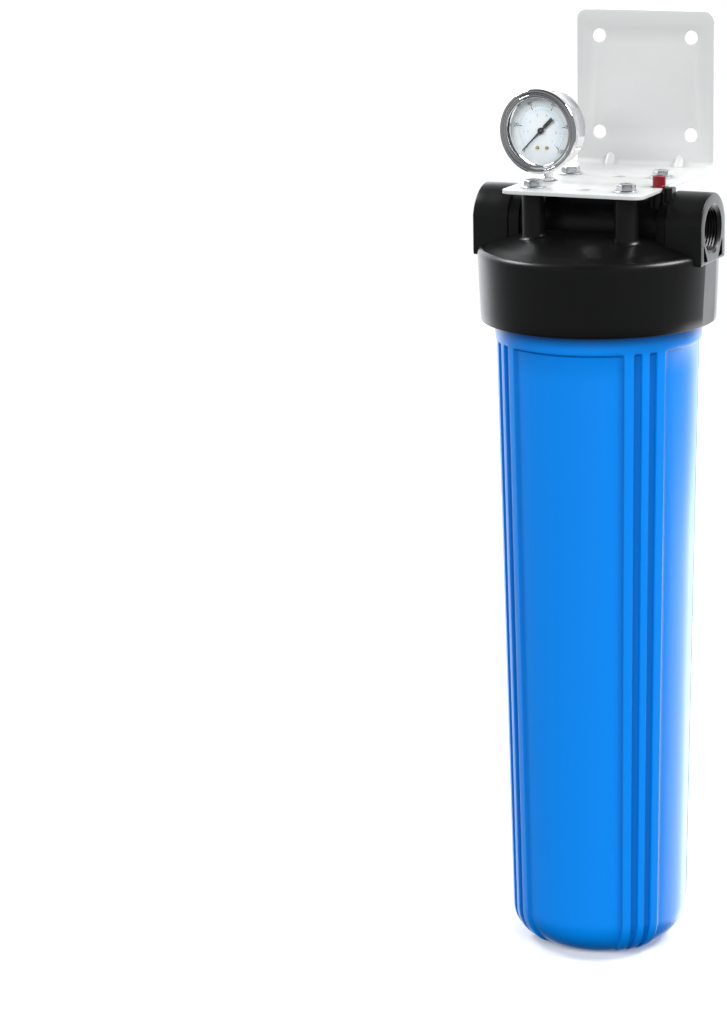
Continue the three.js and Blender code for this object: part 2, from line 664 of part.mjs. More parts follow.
function sectorGear() {
  const rim = toothPoints(gears.sectorTeeth, -2, 8);
  const fan = polygon([...rim, [-1.6, 2], [1.6, 2]]);
  const tail = polygon([[-1.6, 1.5], [-6.2, 1.2], [-6.2, -1.2], [-1.6, -1.5]]);
  const plateShape = join(upright(fan, -3, -1.4), upright(tail, -3, -1.4), rodY(2.6, -3.4, -1, 16));
  return join(plateShape, rodY(gears.arbor, -5.9, 2.1, 12), rodY(0.5, -3.2, -0.4, 8).translate(-5.2, 0, 0))
    .translate(0, 0, -centreDistance());
}

// A flat link with an eye round the sector's pin, reaching towards the tube's tip.
function gaugeLink() {
  const shape = polygon([
    ...arc(0, 0, 1.3, -90, 90, 5), ...arc(-9.5, 10.4, 1.1, 90, 270, 5),
  ]);
  const link = cut(upright(shape, -1.1, -0.6), rodY(0.75, -3, 2, 10));
  return link.translate(-5.2, 0, -centreDistance());
}

function hairspring() {
  const perTurn = 14;
  const points = [];
  for (const [side, order] of [[1, 1], [-1, -1]]) {
    const edge = [];
    for (let i = 0; i <= 2 * perTurn; i += 1) {
      const angle = (TURN * i) / perTurn;
      const radius = 1.9 + 0.7 * (i / perTurn) + side * 0.09;
      edge.push([radius * Math.cos(angle), radius * Math.sin(angle)]);
    }
    points.push(...(order > 0 ? edge : edge.reverse()));
  }
  return upright(polygon(points), -0.2, 0.6);
}

// The pointer at zero: thin tip down to the left, wide tail up to the right.
function gaugePointer() {
  const { pointerFront, pointerThickness, tip, tail } = gauge;
  const blade = polygon([
    [-0.3, tip], [-0.9, 2], [-0.8, -3], [-1.5, -4.5], [-1.5, -tail], [1.5, -tail], [1.5, -4.5],
    [0.8, -3], [0.9, 2], [0.3, tip],
  ]);
  const hub = rodY(2.3, pointerFront, pointerFront + pointerThickness + 0.6, 20);
  const arm = upright(blade, pointerFront + 0.2, pointerFront + pointerThickness);
  const bore = rodY(gears.arbor + 0.25, pointerFront - 1, pointerFront + 3, 12);
  return cut(join(arm, hub), bore).rotateY(rad(-135));
}

// ---- Cartridge ----------------------------------------------------------------------------

function endCap(bottom, up) {
  const { capRadius, capThickness, capRim, hole } = cartridge;
  const [face, back, edge] = [bottom, bottom + up * capThickness, bottom + up * capRim];
  return turned([
    [hole, face], [capRadius, face], [capRadius, edge], [capRadius - 2, edge],
    [capRadius - 2, back], [hole, back],
  ], 24);
}

function pleatedMedia(bottom, top) {
  const { pleats, pleatOuter, pleatInner } = cartridge;
  const fold = [[-0.09, pleatOuter], [0.09, pleatOuter], [0.4, pleatInner], [0.6, pleatInner]];
  const outline = [];
  for (let pleat = 0; pleat < pleats; pleat += 1) {
    for (const [share, radius] of fold) {
      const angle = (TURN * (pleat + share)) / pleats;
      outline.push([radius * Math.cos(angle), radius * Math.sin(angle)]);
    }
  }
  const media = polygon(outline);
  media.holes.push(roundHole(0, 0, pleatInner - 1.5, pleats / 2));
  return raised(media, bottom, top);
}

// A tube with rows of windows, each row turned against the last.
function cartridgeCore(bottom, top) {
  const { coreRadius, coreBore } = cartridge;
  const rows = 4;
  const windows = [];
  for (let row = 0; row < rows; row += 1) {
    const z = bottom + ((row + 0.5) * (top - bottom)) / rows;
    for (let side = 0; side < 2; side += 1) {
      const slot = block(-30, 30, -6, 6, z - 45, z + 45);
      windows.push(slot.rotateZ((Math.PI / 2) * side + (row % 2) * (Math.PI / 4)));
    }
  }
  return cut(ring(coreRadius, coreBore, bottom, top, 16), ...windows);
}

// ---- Assembly -----------------------------------------------------------------------------

const finishes = {
  blackPlastic: { color: 0x1c1c1e, roughness: 0.42, metalness: 0 },
  bluePlastic: { color: 0x1470d6, roughness: 0.38, metalness: 0 },
  paint: { color: 0xe4e6e5, roughness: 0.45, metalness: 0 },
  zinc: { color: 0xc8cbcc, roughness: 0.3, metalness: 1 },
  steel: { color: 0xd6d8d9, roughness: 0.14, metalness: 1 },
  brass: { color: 0xc9a55a, roughness: 0.35, metalness: 1 },
  redPlastic: { color: 0xa01422, roughness: 0.4, metalness: 0 },
  rubber: { color: 0x161616, roughness: 0.8, metalness: 0 },
  acrylic: { color: 0xf2f6f8, roughness: 0.05, metalness: 0 },
  dial: { color: 0xf4f5f2, roughness: 0.6, metalness: 0 },
  pointer: { color: 0x0c0c0c, roughness: 0.5, metalness: 0 },
  media: { color: 0xeef0ee, roughness: 0.9, metalness: 0 },
  whitePlastic: { color: 0xe8e9e6, roughness: 0.5, metalness: 0 },
};

function piece(name, geometry, finish) {
  const flat = toGeometry(toSolid(geometry)).toNonIndexed();
  flat.computeVertexNormals();
  const mesh = new THREE.Mesh(flat, new THREE.MeshStandardMaterial(finishes[finish]));
  mesh.name = name;
  return mesh;
}

function bracketGroup() {
  const group = new THREE.Group();
  group.add(piece("mounting_bracket", mountingBracket(), "paint"));
  cornerBosses().forEach(([x, y], i) => {
    const screw = piece(`bracket_bolt_${i + 1}`, bracketBolt(), "zinc");
    const disc = piece(`bracket_washer_${i + 1}`, bracketWasher(), "zinc");
    for (const part of [screw, disc]) part.position.set(x, y, 0);
    group.add(screw, disc);
  });
  return group;
}

function reliefGroup() {
  const group = new THREE.Group();
  group.position.set(relief.x, relief.y, 0);
  const spring = coilSpring(3.7, 0.45, relief.counterboreBottom + GAP, relief.capBottom - GAP, 3);
  group.add(
    piece("relief_button", reliefButton(), "redPlastic"), piece("relief_o_ring", reliefSeal(), "rubber"),
    piece("relief_retainer", reliefRetainer(), "steel"), piece("relief_spring", spring, "steel"),
  );
  return group;
}

function gaugeGroup() {
  const group = new THREE.Group();
  group.position.set(gauge.x, 0, gauge.height);
  group.rotation.z = rad(gauge.turn);
  group.add(
    piece("gauge_socket", gaugeSocket(), "brass"), piece("gauge_case", gaugeCase(), "steel"),
    piece("gauge_bezel", gaugeBezel(), "steel"), piece("gauge_window", gaugeWindow(), "acrylic"),
    piece("gauge_window_gasket", windowGasket(), "rubber"), piece("gauge_dial", gaugeDial(), "dial"),
    piece("gauge_dial_screw_1", dialScrew(-1), "brass"), piece("gauge_dial_screw_2", dialScrew(1), "brass"),
    piece("gauge_fill_plug", fillPlug(), "rubber"), piece("gauge_bourdon_tube", bourdonTube(), "brass"),
    piece("gauge_movement_frame", movementFrame(), "brass"),
    piece("gauge_hairspring", hairspring(), "steel"),
    piece("gauge_pointer", gaugePointer(), "pointer"), piece("gauge_pinion", gaugePinion(), "brass"),
    piece("gauge_sector_gear", sectorGear(), "brass"), piece("gauge_link", gaugeLink(), "brass"),
  );
  return group;
}

function cartridgeGroup() {
  const { bottom, length, gasketThickness, gasketRadius, gasketBore, capThickness } = cartridge;
  const top = bottom + length;
  const capLow = bottom + gasketThickness + 0.2;
  const capHigh = top - gasketThickness - 0.2;
  const inside = [capLow + capThickness + GAP, capHigh - capThickness - GAP];
  const gasket = (low) => ring(gasketRadius, gasketBore, low, low + gasketThickness, 24);
  const group = new THREE.Group();
  group.add(
    piece("cartridge_bottom_gasket", gasket(bottom), "rubber"),
    piece("cartridge_top_gasket", gasket(top - gasketThickness), "rubber"),
    piece("cartridge_bottom_cap", endCap(capLow, 1), "whitePlastic"),
    piece("cartridge_top_cap", endCap(capHigh, -1), "whitePlastic"),
    piece("cartridge_media", pleatedMedia(...inside), "media"),
    piece("cartridge_core", cartridgeCore(...inside), "whitePlastic"),
  );
  return group;
}

const housing = new THREE.Group();
housing.add(
  piece("head_cap", headCap(), "blackPlastic"), piece("sump_bowl", sumpBowl(), "bluePlastic"),
  piece("sump_o_ring", faceSeal(), "rubber"),
  bracketGroup(), reliefGroup(), gaugeGroup(), cartridgeGroup(),
);

export default housing;
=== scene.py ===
"""A cartridge filter housing: moulded head, ribbed sump, folded bracket, gauge and relief button."""
import json
import math

import bmesh
import bpy
from mathutils import Matrix, Vector


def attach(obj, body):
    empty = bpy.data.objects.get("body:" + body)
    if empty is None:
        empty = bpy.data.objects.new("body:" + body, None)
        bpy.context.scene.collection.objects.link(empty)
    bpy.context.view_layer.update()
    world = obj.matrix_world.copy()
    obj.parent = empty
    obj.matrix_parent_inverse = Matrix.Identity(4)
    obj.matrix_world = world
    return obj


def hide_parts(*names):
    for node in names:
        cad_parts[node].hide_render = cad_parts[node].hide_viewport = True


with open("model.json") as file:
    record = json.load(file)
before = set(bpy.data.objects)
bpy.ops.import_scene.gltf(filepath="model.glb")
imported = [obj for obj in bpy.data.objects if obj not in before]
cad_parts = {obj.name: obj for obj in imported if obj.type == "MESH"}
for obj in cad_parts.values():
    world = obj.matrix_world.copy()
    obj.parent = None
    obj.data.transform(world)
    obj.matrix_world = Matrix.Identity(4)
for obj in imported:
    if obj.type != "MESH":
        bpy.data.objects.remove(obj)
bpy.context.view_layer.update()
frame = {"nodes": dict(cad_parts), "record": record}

MM = 0.001
TURN = 2 * math.pi

# ---- Sizes, in millimetres, all in the part's frame ----

HALF_TURN, GROUP_APART = -88.5, 46.9  # degrees: the middle of a mould half, and its rib groups
RIB_MIDDLE, GROOVE_END, RIB_OUTER, COVE = 2.45, 6.9, 12.3, 4.0  # degrees from a group's middle
RIB_ROUND = 0.45  # half the width of a rib's rounded edge, in degrees
RIB_DEPTH, RIBS_TOP = 2.3, 488.0
SUMP_FOOT, SUMP_CORNER, SUMP_WALL = 71.0, 31.0, 7.3
SUMP_COLLAR, COLLAR_LOW, COLLAR_TOP = 79.8, 491.5, 504.4
SUMP_NECK, NECK_BORE, SUMP_RIM = 77.0, 71.5, 546.0
THREAD_PITCH, THREAD_LOW, THREAD_HIGH = 6.0, 517.0, 535.0
THREAD_TURNS, THREAD_ROOT, THREAD_CREST = 2.5, 3.0, 1.4

SKIRT_LOW, SKIRT_LOW_R, SKIRT_TOP, SKIRT_TOP_R, SHOULDER = 504.9, 90.5, 555.5, 92.5, 6.0
SKIRT_FLARE = 1.9  # how much wider the skirt is at the top of its flat panels
CONE_R, CONE_TOP, CROWN_TOP = 60.0, 571.0, 574.0
PORT_Z, PORT_FACE, ARCH_R, ARCH_HALF, ARCH_LOW = 578.0, 93.0, 27.5, 27.0, 553.0
PORT_BORE, PORT_DEPTH, PORT_PASSAGE, NPT_PITCH = 16.1, 25.0, 12.5, 2.209
FLAT_TOP_X, FLAT_LOW_X = 91.6, 89.5
TUBE_R, BOSS_R, BOSS_AT, GAUGE_BOSS_R, RELIEF_BOSS_R = 21.0, 9.0, 37.5, 9.5, 8.5
RELIEF_X, RELIEF_Y = 52.0, -6.0

SHEET, FLANGE_LOW, PLATE_BACK, PLATE_TOP = 3.0, 606.0, 103.6, 730.0
FLANGE_FRONT, HALF_WIDTH, BEND_R, CORNER_R = -58.0, 57.0, 4.0, 8.0
WALL_HOLE_X, WALL_HOLE_Z, WALL_HOLE_RISE, WALL_HOLE_R = 38.3, 671.8, 38.0, 5.5
SPARE_HOLE_X, SPARE_HOLE_Y, SPARE_HOLE_R = 3.0, 36.0, 5.5
BOLT_HOLE_R, GAUGE_HOLE_R, NOTCH_R, DIMPLE_X = 4.6, 7.5, 6.5, 29.0
WASHER, BOLT_FLAT, BOLT_HEAD = 1.3, 6.5, 4.6  # thickness, axis to a flat, and height

GAUGE_X, GAUGE_Z, GAUGE_TURN = -41.0, 648.5, -3.5
GAUGE = Matrix.Translation((GAUGE_X * MM, 0, GAUGE_Z * MM)) @ Matrix.Rotation(
    math.radians(GAUGE_TURN), 4, "Z")
DIAL_FRONT = -9.6
DIAL_START, DIAL_SWEEP = -135, 270  # degrees, clockwise from the top
FLOOR_HALF, FLOOR_DEPTH = 2400, 30


# ---- Mesh helpers ----

def circle(radius, z, steps=96, x=0.0, y=0.0):
    """A horizontal ring of points."""
    return [(x + radius * math.cos(TURN * i / steps), y + radius * math.sin(TURN * i / steps), z)
            for i in range(steps)]


def arc(cx, cz, radius, start, end, steps):
    """(x, z) points on an arc, with angles in degrees."""
    angles = [math.radians(start + (end - start) * i / steps) for i in range(steps + 1)]
    return [(cx + radius * math.cos(a), cz + radius * math.sin(a)) for a in angles]


def loft(name, loops, closed=False, place=None, sharp=32.0):
    """Joins rings of points, in millimetres, into one closed mesh. A ring of one point is a pole."""
    bm = bmesh.new()
    rings = [[bm.verts.new(Vector(point) * MM) for point in loop] for loop in loops]
    pairs = list(zip(rings, rings[1:]))
    if closed:
        pairs.append((rings[-1], rings[0]))
    for low, high in pairs:
        count = max(len(low), len(high))
        for i in range(count if count > 1 else 0):
            j = (i + 1) % count
            if len(low) == 1:
                bm.faces.new((low[0], high[j], high[i]))
            elif len(high) == 1:
                bm.faces.new((low[i], low[j], high[0]))
            else:
                bm.faces.new((low[i], low[j], high[j], high[i]))
    return finish_mesh(name, bm, place, sharp)


def new_object(name, data):
    """An object with the given data, in the scene."""
    made = bpy.data.objects.new(name, data)
    bpy.context.scene.collection.objects.link(made)
    return made


def baked(thing):
    """The mesh of an object with its modifiers applied, or of a curve or a text."""
    graph = bpy.context.evaluated_depsgraph_get()
    return bpy.data.meshes.new_from_object(thing.evaluated_get(graph))


def finish_mesh(name, bm, place=None, sharp=32.0):
    """Turns the faces outwards, shades by angle and makes the object."""
    bmesh.ops.recalc_face_normals(bm, faces=bm.faces[:])
    if bm.calc_volume(signed=True) < 0:
        bmesh.ops.reverse_faces(bm, faces=bm.faces[:])
    mesh = bpy.data.meshes.new(name)
    bm.to_mesh(mesh)
    bm.free()
    if place is not None:
        mesh.transform(place)
    mesh.shade_smooth()
    mesh.set_sharp_from_angle(angle=math.radians(sharp))
    return new_object(name, mesh)


def turned(name, profile, steps=96, place=None, about="Z"):
    """A turned piece from (radius, height) points, closed on the axis or on itself."""
    loops = [[(0.0, 0.0, z)] if r == 0 else circle(r, z, steps) for r, z in profile]
    if about == "Y":
        loops = [[(x, z, -y) for x, y, z in loop] for loop in loops]
    if about == "X":
        loops = [[(z, x, y) for x, y, z in loop] for loop in loops]
    return loft(name, loops, closed=profile[0][0] != 0, place=place)


def prism(name, outline, low, high, bevel=0.0, about="Z", place=None):
    """A flat outline given thickness, with its edges rounded by insetting the end loops."""
    centre = [sum(point[k] for point in outline) / len(outline) for k in (0, 1)]
    loops = [[(*centre, low)]]
    stations = [(low, 0.0)]
    if bevel:
        stations = [(low + bevel * (1 - math.cos(a)), bevel * (1 - math.sin(a)))
                    for a in (0.0, math.pi / 4, math.pi / 2)]
    stations += [(low + high - z, inset) for z, inset in reversed(stations)]
    for z, inset in stations:
        loops.append([(x, y, z) for x, y in inset_outline(outline, inset)])
    loops.append([(*centre, high)])
    if about == "Y":
        loops = [[(x, z, y) for x, y, z in loop] for loop in loops]
    return loft(name, loops, place=place)


def inset_outline(outline, inset):
    """Moves each corner of a counter-clockwise outline inwards."""
    if not inset:
        return outline
    moved = []
    count = len(outline)
    for i in range(count):
        before, here, after = (Vector(outline[(i + k) % count]) for k in (-1, 0, 1))
        first, second = (here - before).normalized(), (after - here).normalized()
        normal = Vector((-first.y - second.y, first.x + second.x))
        normal.normalize()
        spread = max(0.35, normal.dot(Vector((-first.y, first.x))))
        moved.append(tuple(here + normal * inset / spread))
    return moved


def boolean(target, tool, operation):
    """Adds or cuts one closed mesh with another, and removes the tool."""
    modifier = target.modifiers.new(operation, "BOOLEAN")
    modifier.operation = operation
    modifier.solver = "EXACT"
    modifier.object = tool
    made = baked(target)
    target.modifiers.remove(modifier)
    old = target.data
    target.data = made
    bpy.data.meshes.remove(old)
    bpy.data.objects.remove(tool)
    target.data.shade_smooth()
    target.data.set_sharp_from_angle(angle=math.radians(32))


def keep(piece, material, body, slot, *nodes):
    """Gives a piece its material and body, and hides the CAD nodes that it stands for. The slot is not used.
    """
    piece.data.materials.clear()
    piece.data.materials.append(material)
    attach(piece, body)
    if nodes:
        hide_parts(*nodes)


# ---- Materials ----

def new_material(name, **sockets):
    """A Principled material with some of its sockets set; _ in a socket's name is a space."""
    material = bpy.data.materials.new(name)
    material.use_nodes = True
    shader = material.node_tree.nodes["Principled BSDF"]
    for key, value in sockets.items():
        shader.inputs[key.replace("_", " ")].default_value = value
    return material, material.node_tree, shader


def noise(tree, scale, detail=4.0, stretch=(1, 1, 1)):
    """Noise by position on the object, stretched by the given factors."""
    where = tree.nodes.new("ShaderNodeTexCoord")
    mapping = tree.nodes.new("ShaderNodeMapping")
    mapping.inputs["Scale"].default_value = stretch
    texture = tree.nodes.new("ShaderNodeTexNoise")
    texture.inputs["Scale"].default_value = scale
    texture.inputs["Detail"].default_value = detail
    texture.inputs["Roughness"].default_value = 0.55
    tree.links.new(where.outputs["Object"], mapping.inputs["Vector"])
    tree.links.new(mapping.outputs["Vector"], texture.inputs["Vector"])
    return texture.outputs["Fac"]


def ramp(tree, value, low, high, start=0.3, end=0.7):
    """Maps a value between two colours."""
    node = tree.nodes.new("ShaderNodeValToRGB")
    node.color_ramp.elements[0].position, node.color_ramp.elements[1].position = start, end
    node.color_ramp.elements[0].color = (*low, 1.0)
    node.color_ramp.elements[1].color = (*high, 1.0)
    tree.links.new(value, node.inputs["Fac"])
    return node.outputs["Color"]


def spread(tree, value, low, high):
    """Maps a value from about 0.3..0.7 to low..high."""
    node = tree.nodes.new("ShaderNodeMapRange")
    node.inputs["From Min"].default_value, node.inputs["From Max"].default_value = 0.3, 0.7
    node.inputs["To Min"].default_value, node.inputs["To Max"].default_value = low, high
    tree.links.new(value, node.inputs["Value"])
    return node.outputs["Result"]


def surface(tree, shader, colour, roughness):
    """Feeds a shader its colour and roughness."""
    tree.links.new(colour, shader.inputs["Base Color"])
    tree.links.new(roughness, shader.inputs["Roughness"])


def bump(tree, shader, *layers):
    """Adds (height, strength, distance in mm) layers of bump."""
    normal = None
    for height, strength, distance in layers:
        node = tree.nodes.new("ShaderNodeBump")
        node.inputs["Strength"].default_value = strength
        node.inputs["Distance"].default_value = distance * MM
        tree.links.new(height, node.inputs["Height"])
        if normal is not None:
            tree.links.new(normal, node.inputs["Normal"])
        normal = node.outputs["Normal"]
    tree.links.new(normal, shader.inputs["Normal"])


def moulded_plastic(name, low, high, roughness, grain, **sockets):
    """Moulded plastic: slow colour drift, fine grain, faint lines along the draw of the mould."""
    material, tree, shader = new_material(name, **sockets)
    drift = noise(tree, 9.0, 5.0, (1, 1, 0.35))
    patches = noise(tree, 34.0, 6.0, (1, 1, 0.5))
    surface(tree, shader, ramp(tree, drift, low, high), spread(tree, patches, *roughness))
    lines = noise(tree, 260.0, 2.0, (1, 1, 0.02))
    bump(tree, shader, (noise(tree, 1500.0, 3.0), grain, 0.05), (lines, 0.2, 0.02))
    return material


def ribbed_plastic(name, low, high, deep, roughness):
    """The sump's plastic, mixed towards a darker colour by a vertex attribute as painted shade, with soft
    moulding marks.
    """
    material, tree, shader = new_material(name, Specular_IOR_Level=0.35)
    drift = ramp(tree, noise(tree, 7.0, 1.0, (1, 1, 0.3)), low, high, 0.1, 0.9)
    # Painted shade: the attribute mixes the colour towards the darker shade colour (deep) between the ribs
    # and on the collar under the head.
    shade = tree.nodes.new("ShaderNodeAttribute")
    shade.attribute_name = "painted_shade"
    mix = tree.nodes.new("ShaderNodeMix")
    mix.data_type = "RGBA"
    mix.inputs[7].default_value = (*deep, 1.0)
    tree.links.new(shade.outputs["Fac"], mix.inputs[0])
    tree.links.new(drift, mix.inputs[6])
    patches = noise(tree, 12.0, 2.0, (1, 1, 0.4))
    surface(tree, shader, mix.outputs[2], spread(tree, patches, *roughness))
    bump(tree, shader, (noise(tree, 1500.0, 3.0), 0.12, 0.04),
         (noise(tree, 30.0, 1.0, (1, 1, 0.3)), 0.06, 0.5))
    return material


def metal(name, colour, dark, roughness, stretch, scale=600.0, strength=0.12):
    """Metal with brushing along one direction and patchy roughness."""
    material, tree, shader = new_material(name, Metallic=1.0)
    drift = noise(tree, 40.0, 5.0)
    lines = noise(tree, scale, 4.0, stretch)
    surface(tree, shader, ramp(tree, drift, dark, colour), spread(tree, lines, *roughness))
    bump(tree, shader, (lines, strength, 0.02), (noise(tree, 120.0, 3.0), strength / 2, 0.1))
    return material


def powder_coat(name, low, high):
    """Powder coat: orange peel, and a little colour drift."""
    material, tree, shader = new_material(name, Coat_Weight=0.25, Coat_Roughness=0.2)
    surface(tree, shader, ramp(tree, noise(tree, 14.0, 6.0), low, high),
            spread(tree, noise(tree, 60.0, 4.0), 0.38, 0.52))
    bump(tree, shader, (noise(tree, 700.0, 2.0), 0.22, 0.08), (noise(tree, 2600.0, 2.0), 0.1, 0.03))
    return material


def rubber(name, low, high):
    """Dull rubber with a fine grain."""
    material, tree, shader = new_material(name)
    surface(tree, shader, ramp(tree, noise(tree, 80.0, 5.0), low, high),
            spread(tree, noise(tree, 200.0, 4.0), 0.6, 0.85))
    bump(tree, shader, (noise(tree, 1800.0, 3.0), 0.3, 0.05))
    return material


def printed(name, low, high, rough=(0.5, 0.65)):
    """A painted or printed flat surface."""
    material, tree, shader = new_material(name)
    surface(tree, shader, ramp(tree, noise(tree, 90.0, 4.0), low, high),
            spread(tree, noise(tree, 400.0, 3.0), *rough))
    bump(tree, shader, (noise(tree, 2400.0, 2.0), 0.08, 0.02))
    return material


def media_cloth(name):
    """Pleated paper-like media with a fibrous surface."""
    material, tree, shader = new_material(name, Sheen_Weight=0.2)
    fibres = noise(tree, 900.0, 6.0, (1, 1, 0.3))
    colour = ramp(tree, fibres, (0.72, 0.73, 0.70), (0.9, 0.9, 0.88))
    surface(tree, shader, colour, spread(tree, fibres, 0.8, 0.95))
    bump(tree, shader, (fibres, 0.5, 0.1))
    return material


def clear_window(name):
    """Clear polycarbonate with faint haze."""
    material, tree, shader = new_material(name, Transmission_Weight=1.0, IOR=1.3)
    tint = ramp(tree, noise(tree, 60.0, 3.0), (0.96, 0.98, 0.985), (1, 1, 1))
    surface(tree, shader, tint, spread(tree, noise(tree, 150.0, 5.0), 0.0, 0.03))
    return material


BLACK = moulded_plastic("black_plastic", (0.0022, 0.0022, 0.0024), (0.0036, 0.0036, 0.0038),
                        (0.28, 0.36), 0.2, Specular_IOR_Level=0.4)
# The third colour is painted shade, mixed in between the ribs and on the collar's top under the head.
BLUE = ribbed_plastic("blue_plastic", (0.0, 0.178, 0.64), (0.0, 0.188, 0.67), (0.0, 0.118, 0.45),
                      (0.27, 0.33))
PAINT = powder_coat("bracket_paint", (0.44, 0.45, 0.45), (0.47, 0.48, 0.475))
ZINC = metal("zinc_steel", (0.74, 0.76, 0.77), (0.52, 0.54, 0.56), (0.22, 0.38), (1, 1, 1), 300.0)
SPRING = metal("spring_steel", (0.68, 0.68, 0.68), (0.5, 0.5, 0.5), (0.2, 0.32), (1, 1, 1))
STEEL = metal("gauge_steel", (0.90, 0.90, 0.90), (0.84, 0.84, 0.85), (0.07, 0.13), (0.1, 4, 0.1),
              500.0, 0.012)
DARK_STEEL = metal("pointer_hub", (0.16, 0.16, 0.17), (0.09, 0.09, 0.1), (0.25, 0.4), (1, 1, 1))
BRASS = metal("gauge_brass", (0.72, 0.53, 0.24), (0.5, 0.35, 0.13), (0.2, 0.36), (1, 1, 1))
RED = moulded_plastic("red_plastic", (0.10, 0.002, 0.006), (0.16, 0.003, 0.010), (0.25, 0.38), 0.2)
SEAL = rubber("seal_rubber", (0.010, 0.010, 0.010), (0.022, 0.022, 0.022))
PLUG = rubber("plug_rubber", (0.70, 0.70, 0.69), (0.80, 0.80, 0.79))
DIAL = printed("dial_face", (0.40, 0.425, 0.44), (0.43, 0.455, 0.47))
INK = printed("dial_ink", (0.010, 0.010, 0.012), (0.03, 0.03, 0.035))
BLUE_INK = printed("dial_blue_ink", (0.10, 0.16, 0.24), (0.14, 0.20, 0.28))
PALE_INK = printed("dial_pale_ink", (0.36, 0.43, 0.48), (0.40, 0.46, 0.52))
POINTER = printed("pointer_black", (0.006, 0.006, 0.006), (0.014, 0.014, 0.014), (0.35, 0.5))
WHITE = moulded_plastic("cartridge_plastic", (0.72, 0.73, 0.70), (0.82, 0.83, 0.80), (0.4, 0.55), 0.3)
MEDIA = media_cloth("filter_media")
CLEAR = clear_window("window_acrylic")

CARRIED = {  # the finish of each material slot, for the CAD nodes
    "seal_rubber": SEAL, "spring_steel": SPRING, "gauge_brass": BRASS, "cartridge_plastic": WHITE,
    "filter_media": MEDIA, "zinc_steel": ZINC, "gauge_steel": STEEL, "plug_rubber": PLUG,
    "black_plastic": BLACK, "blue_plastic": BLUE, "bracket_paint": PAINT, "red_plastic": RED,
    "dial_face": DIAL, "pointer_black": POINTER, "window_acrylic": CLEAR,
}


def dress_cad_nodes():
    """Every CAD node gets the finish of its slot, whether or not a finer piece stands for it."""
    slots = {row["node"]: row["material_slot"] for row in frame["record"]["subparts"]}
    for name, node in frame["nodes"].items():
        node.data.materials.clear()
        node.data.materials.append(CARRIED[slots[name]])


# ---- Sump ----

def smooth_step(value):
    """0 below 0, 1 above 1, and an even ease between them."""
    value = min(1.0, max(0.0, value))
    return value * value * (3 - 2 * value)


def from_group(degrees):
    """Degrees from the middle of the nearest group of ribs."""
    return abs(abs((degrees - HALF_TURN + 90) % 180 - 90) - GROUP_APART)


def groove(off):
    """1 in the groove between a group's middle rib and an outer one, 0 on both."""
    rise, fall = ((off - edge + RIB_ROUND) / (2 * RIB_ROUND) for edge in (RIB_MIDDLE, GROOVE_END))
    return smooth_step(rise) - smooth_step(fall)


def rib_inset(degrees):
    """0 on a rib's crest, 1 on the wall and in a groove, with a cove from the outer ribs to the wall."""
    off = from_group(degrees)
    past = min(1.0, max(0.0, (off - RIB_OUTER) / COVE))
    return groove(off) + math.sqrt(1 - (1 - past) ** 2) * smooth_step(past / 0.3)


def rib_shade(degrees):
    """How much painted shade falls between the ribs, from 0 to 1: in the grooves, and in a band beside the
    outer ribs that fades out across the wall.
    """
    off = from_group(degrees)
    past = (off - RIB_OUTER) / COVE
    cove = smooth_step(past * 6) * (1 - smooth_step(past / 1.35)) if past > 0 else 0.0
    return groove(off) + cove


def rib_angles():
    """Angles round the sump: close together at the rib edges, wider on the wall."""
    side = {1.2, 4.7, 8.4, 10.2, 11.6}
    for edge in (RIB_MIDDLE, GROOVE_END):
        side.update(edge + RIB_ROUND * 1.1 * k / 4 for k in range(-4, 5))
    side.update(RIB_OUTER + COVE * share
                for share in (0, 0.03, 0.08, 0.16, 0.27, 0.4, 0.55, 0.72, 0.88, 1))
    side.update(17.8 + 1.7 * k for k in range(16))
    angles = []
    for half in (0, 180):
        for group, inner in ((-GROUP_APART, 1), (GROUP_APART, -1)):
            near = [hand * off for hand in (-1, 1) for off in side
                    if off < (GROUP_APART - 0.4 if hand == inner else 89.5 - GROUP_APART)]
            angles += [HALF_TURN + half + group + off for off in near + [0.0]]
        angles += [HALF_TURN + half, HALF_TURN + half + 90]
    return sorted(angles)


def crest(z):
    """The radius of the ribs' crests, which taper from the collar to the foot."""
    return SUMP_FOOT + (SUMP_COLLAR - SUMP_FOOT) * (z - SUMP_CORNER) / (COLLAR_TOP - SUMP_CORNER)


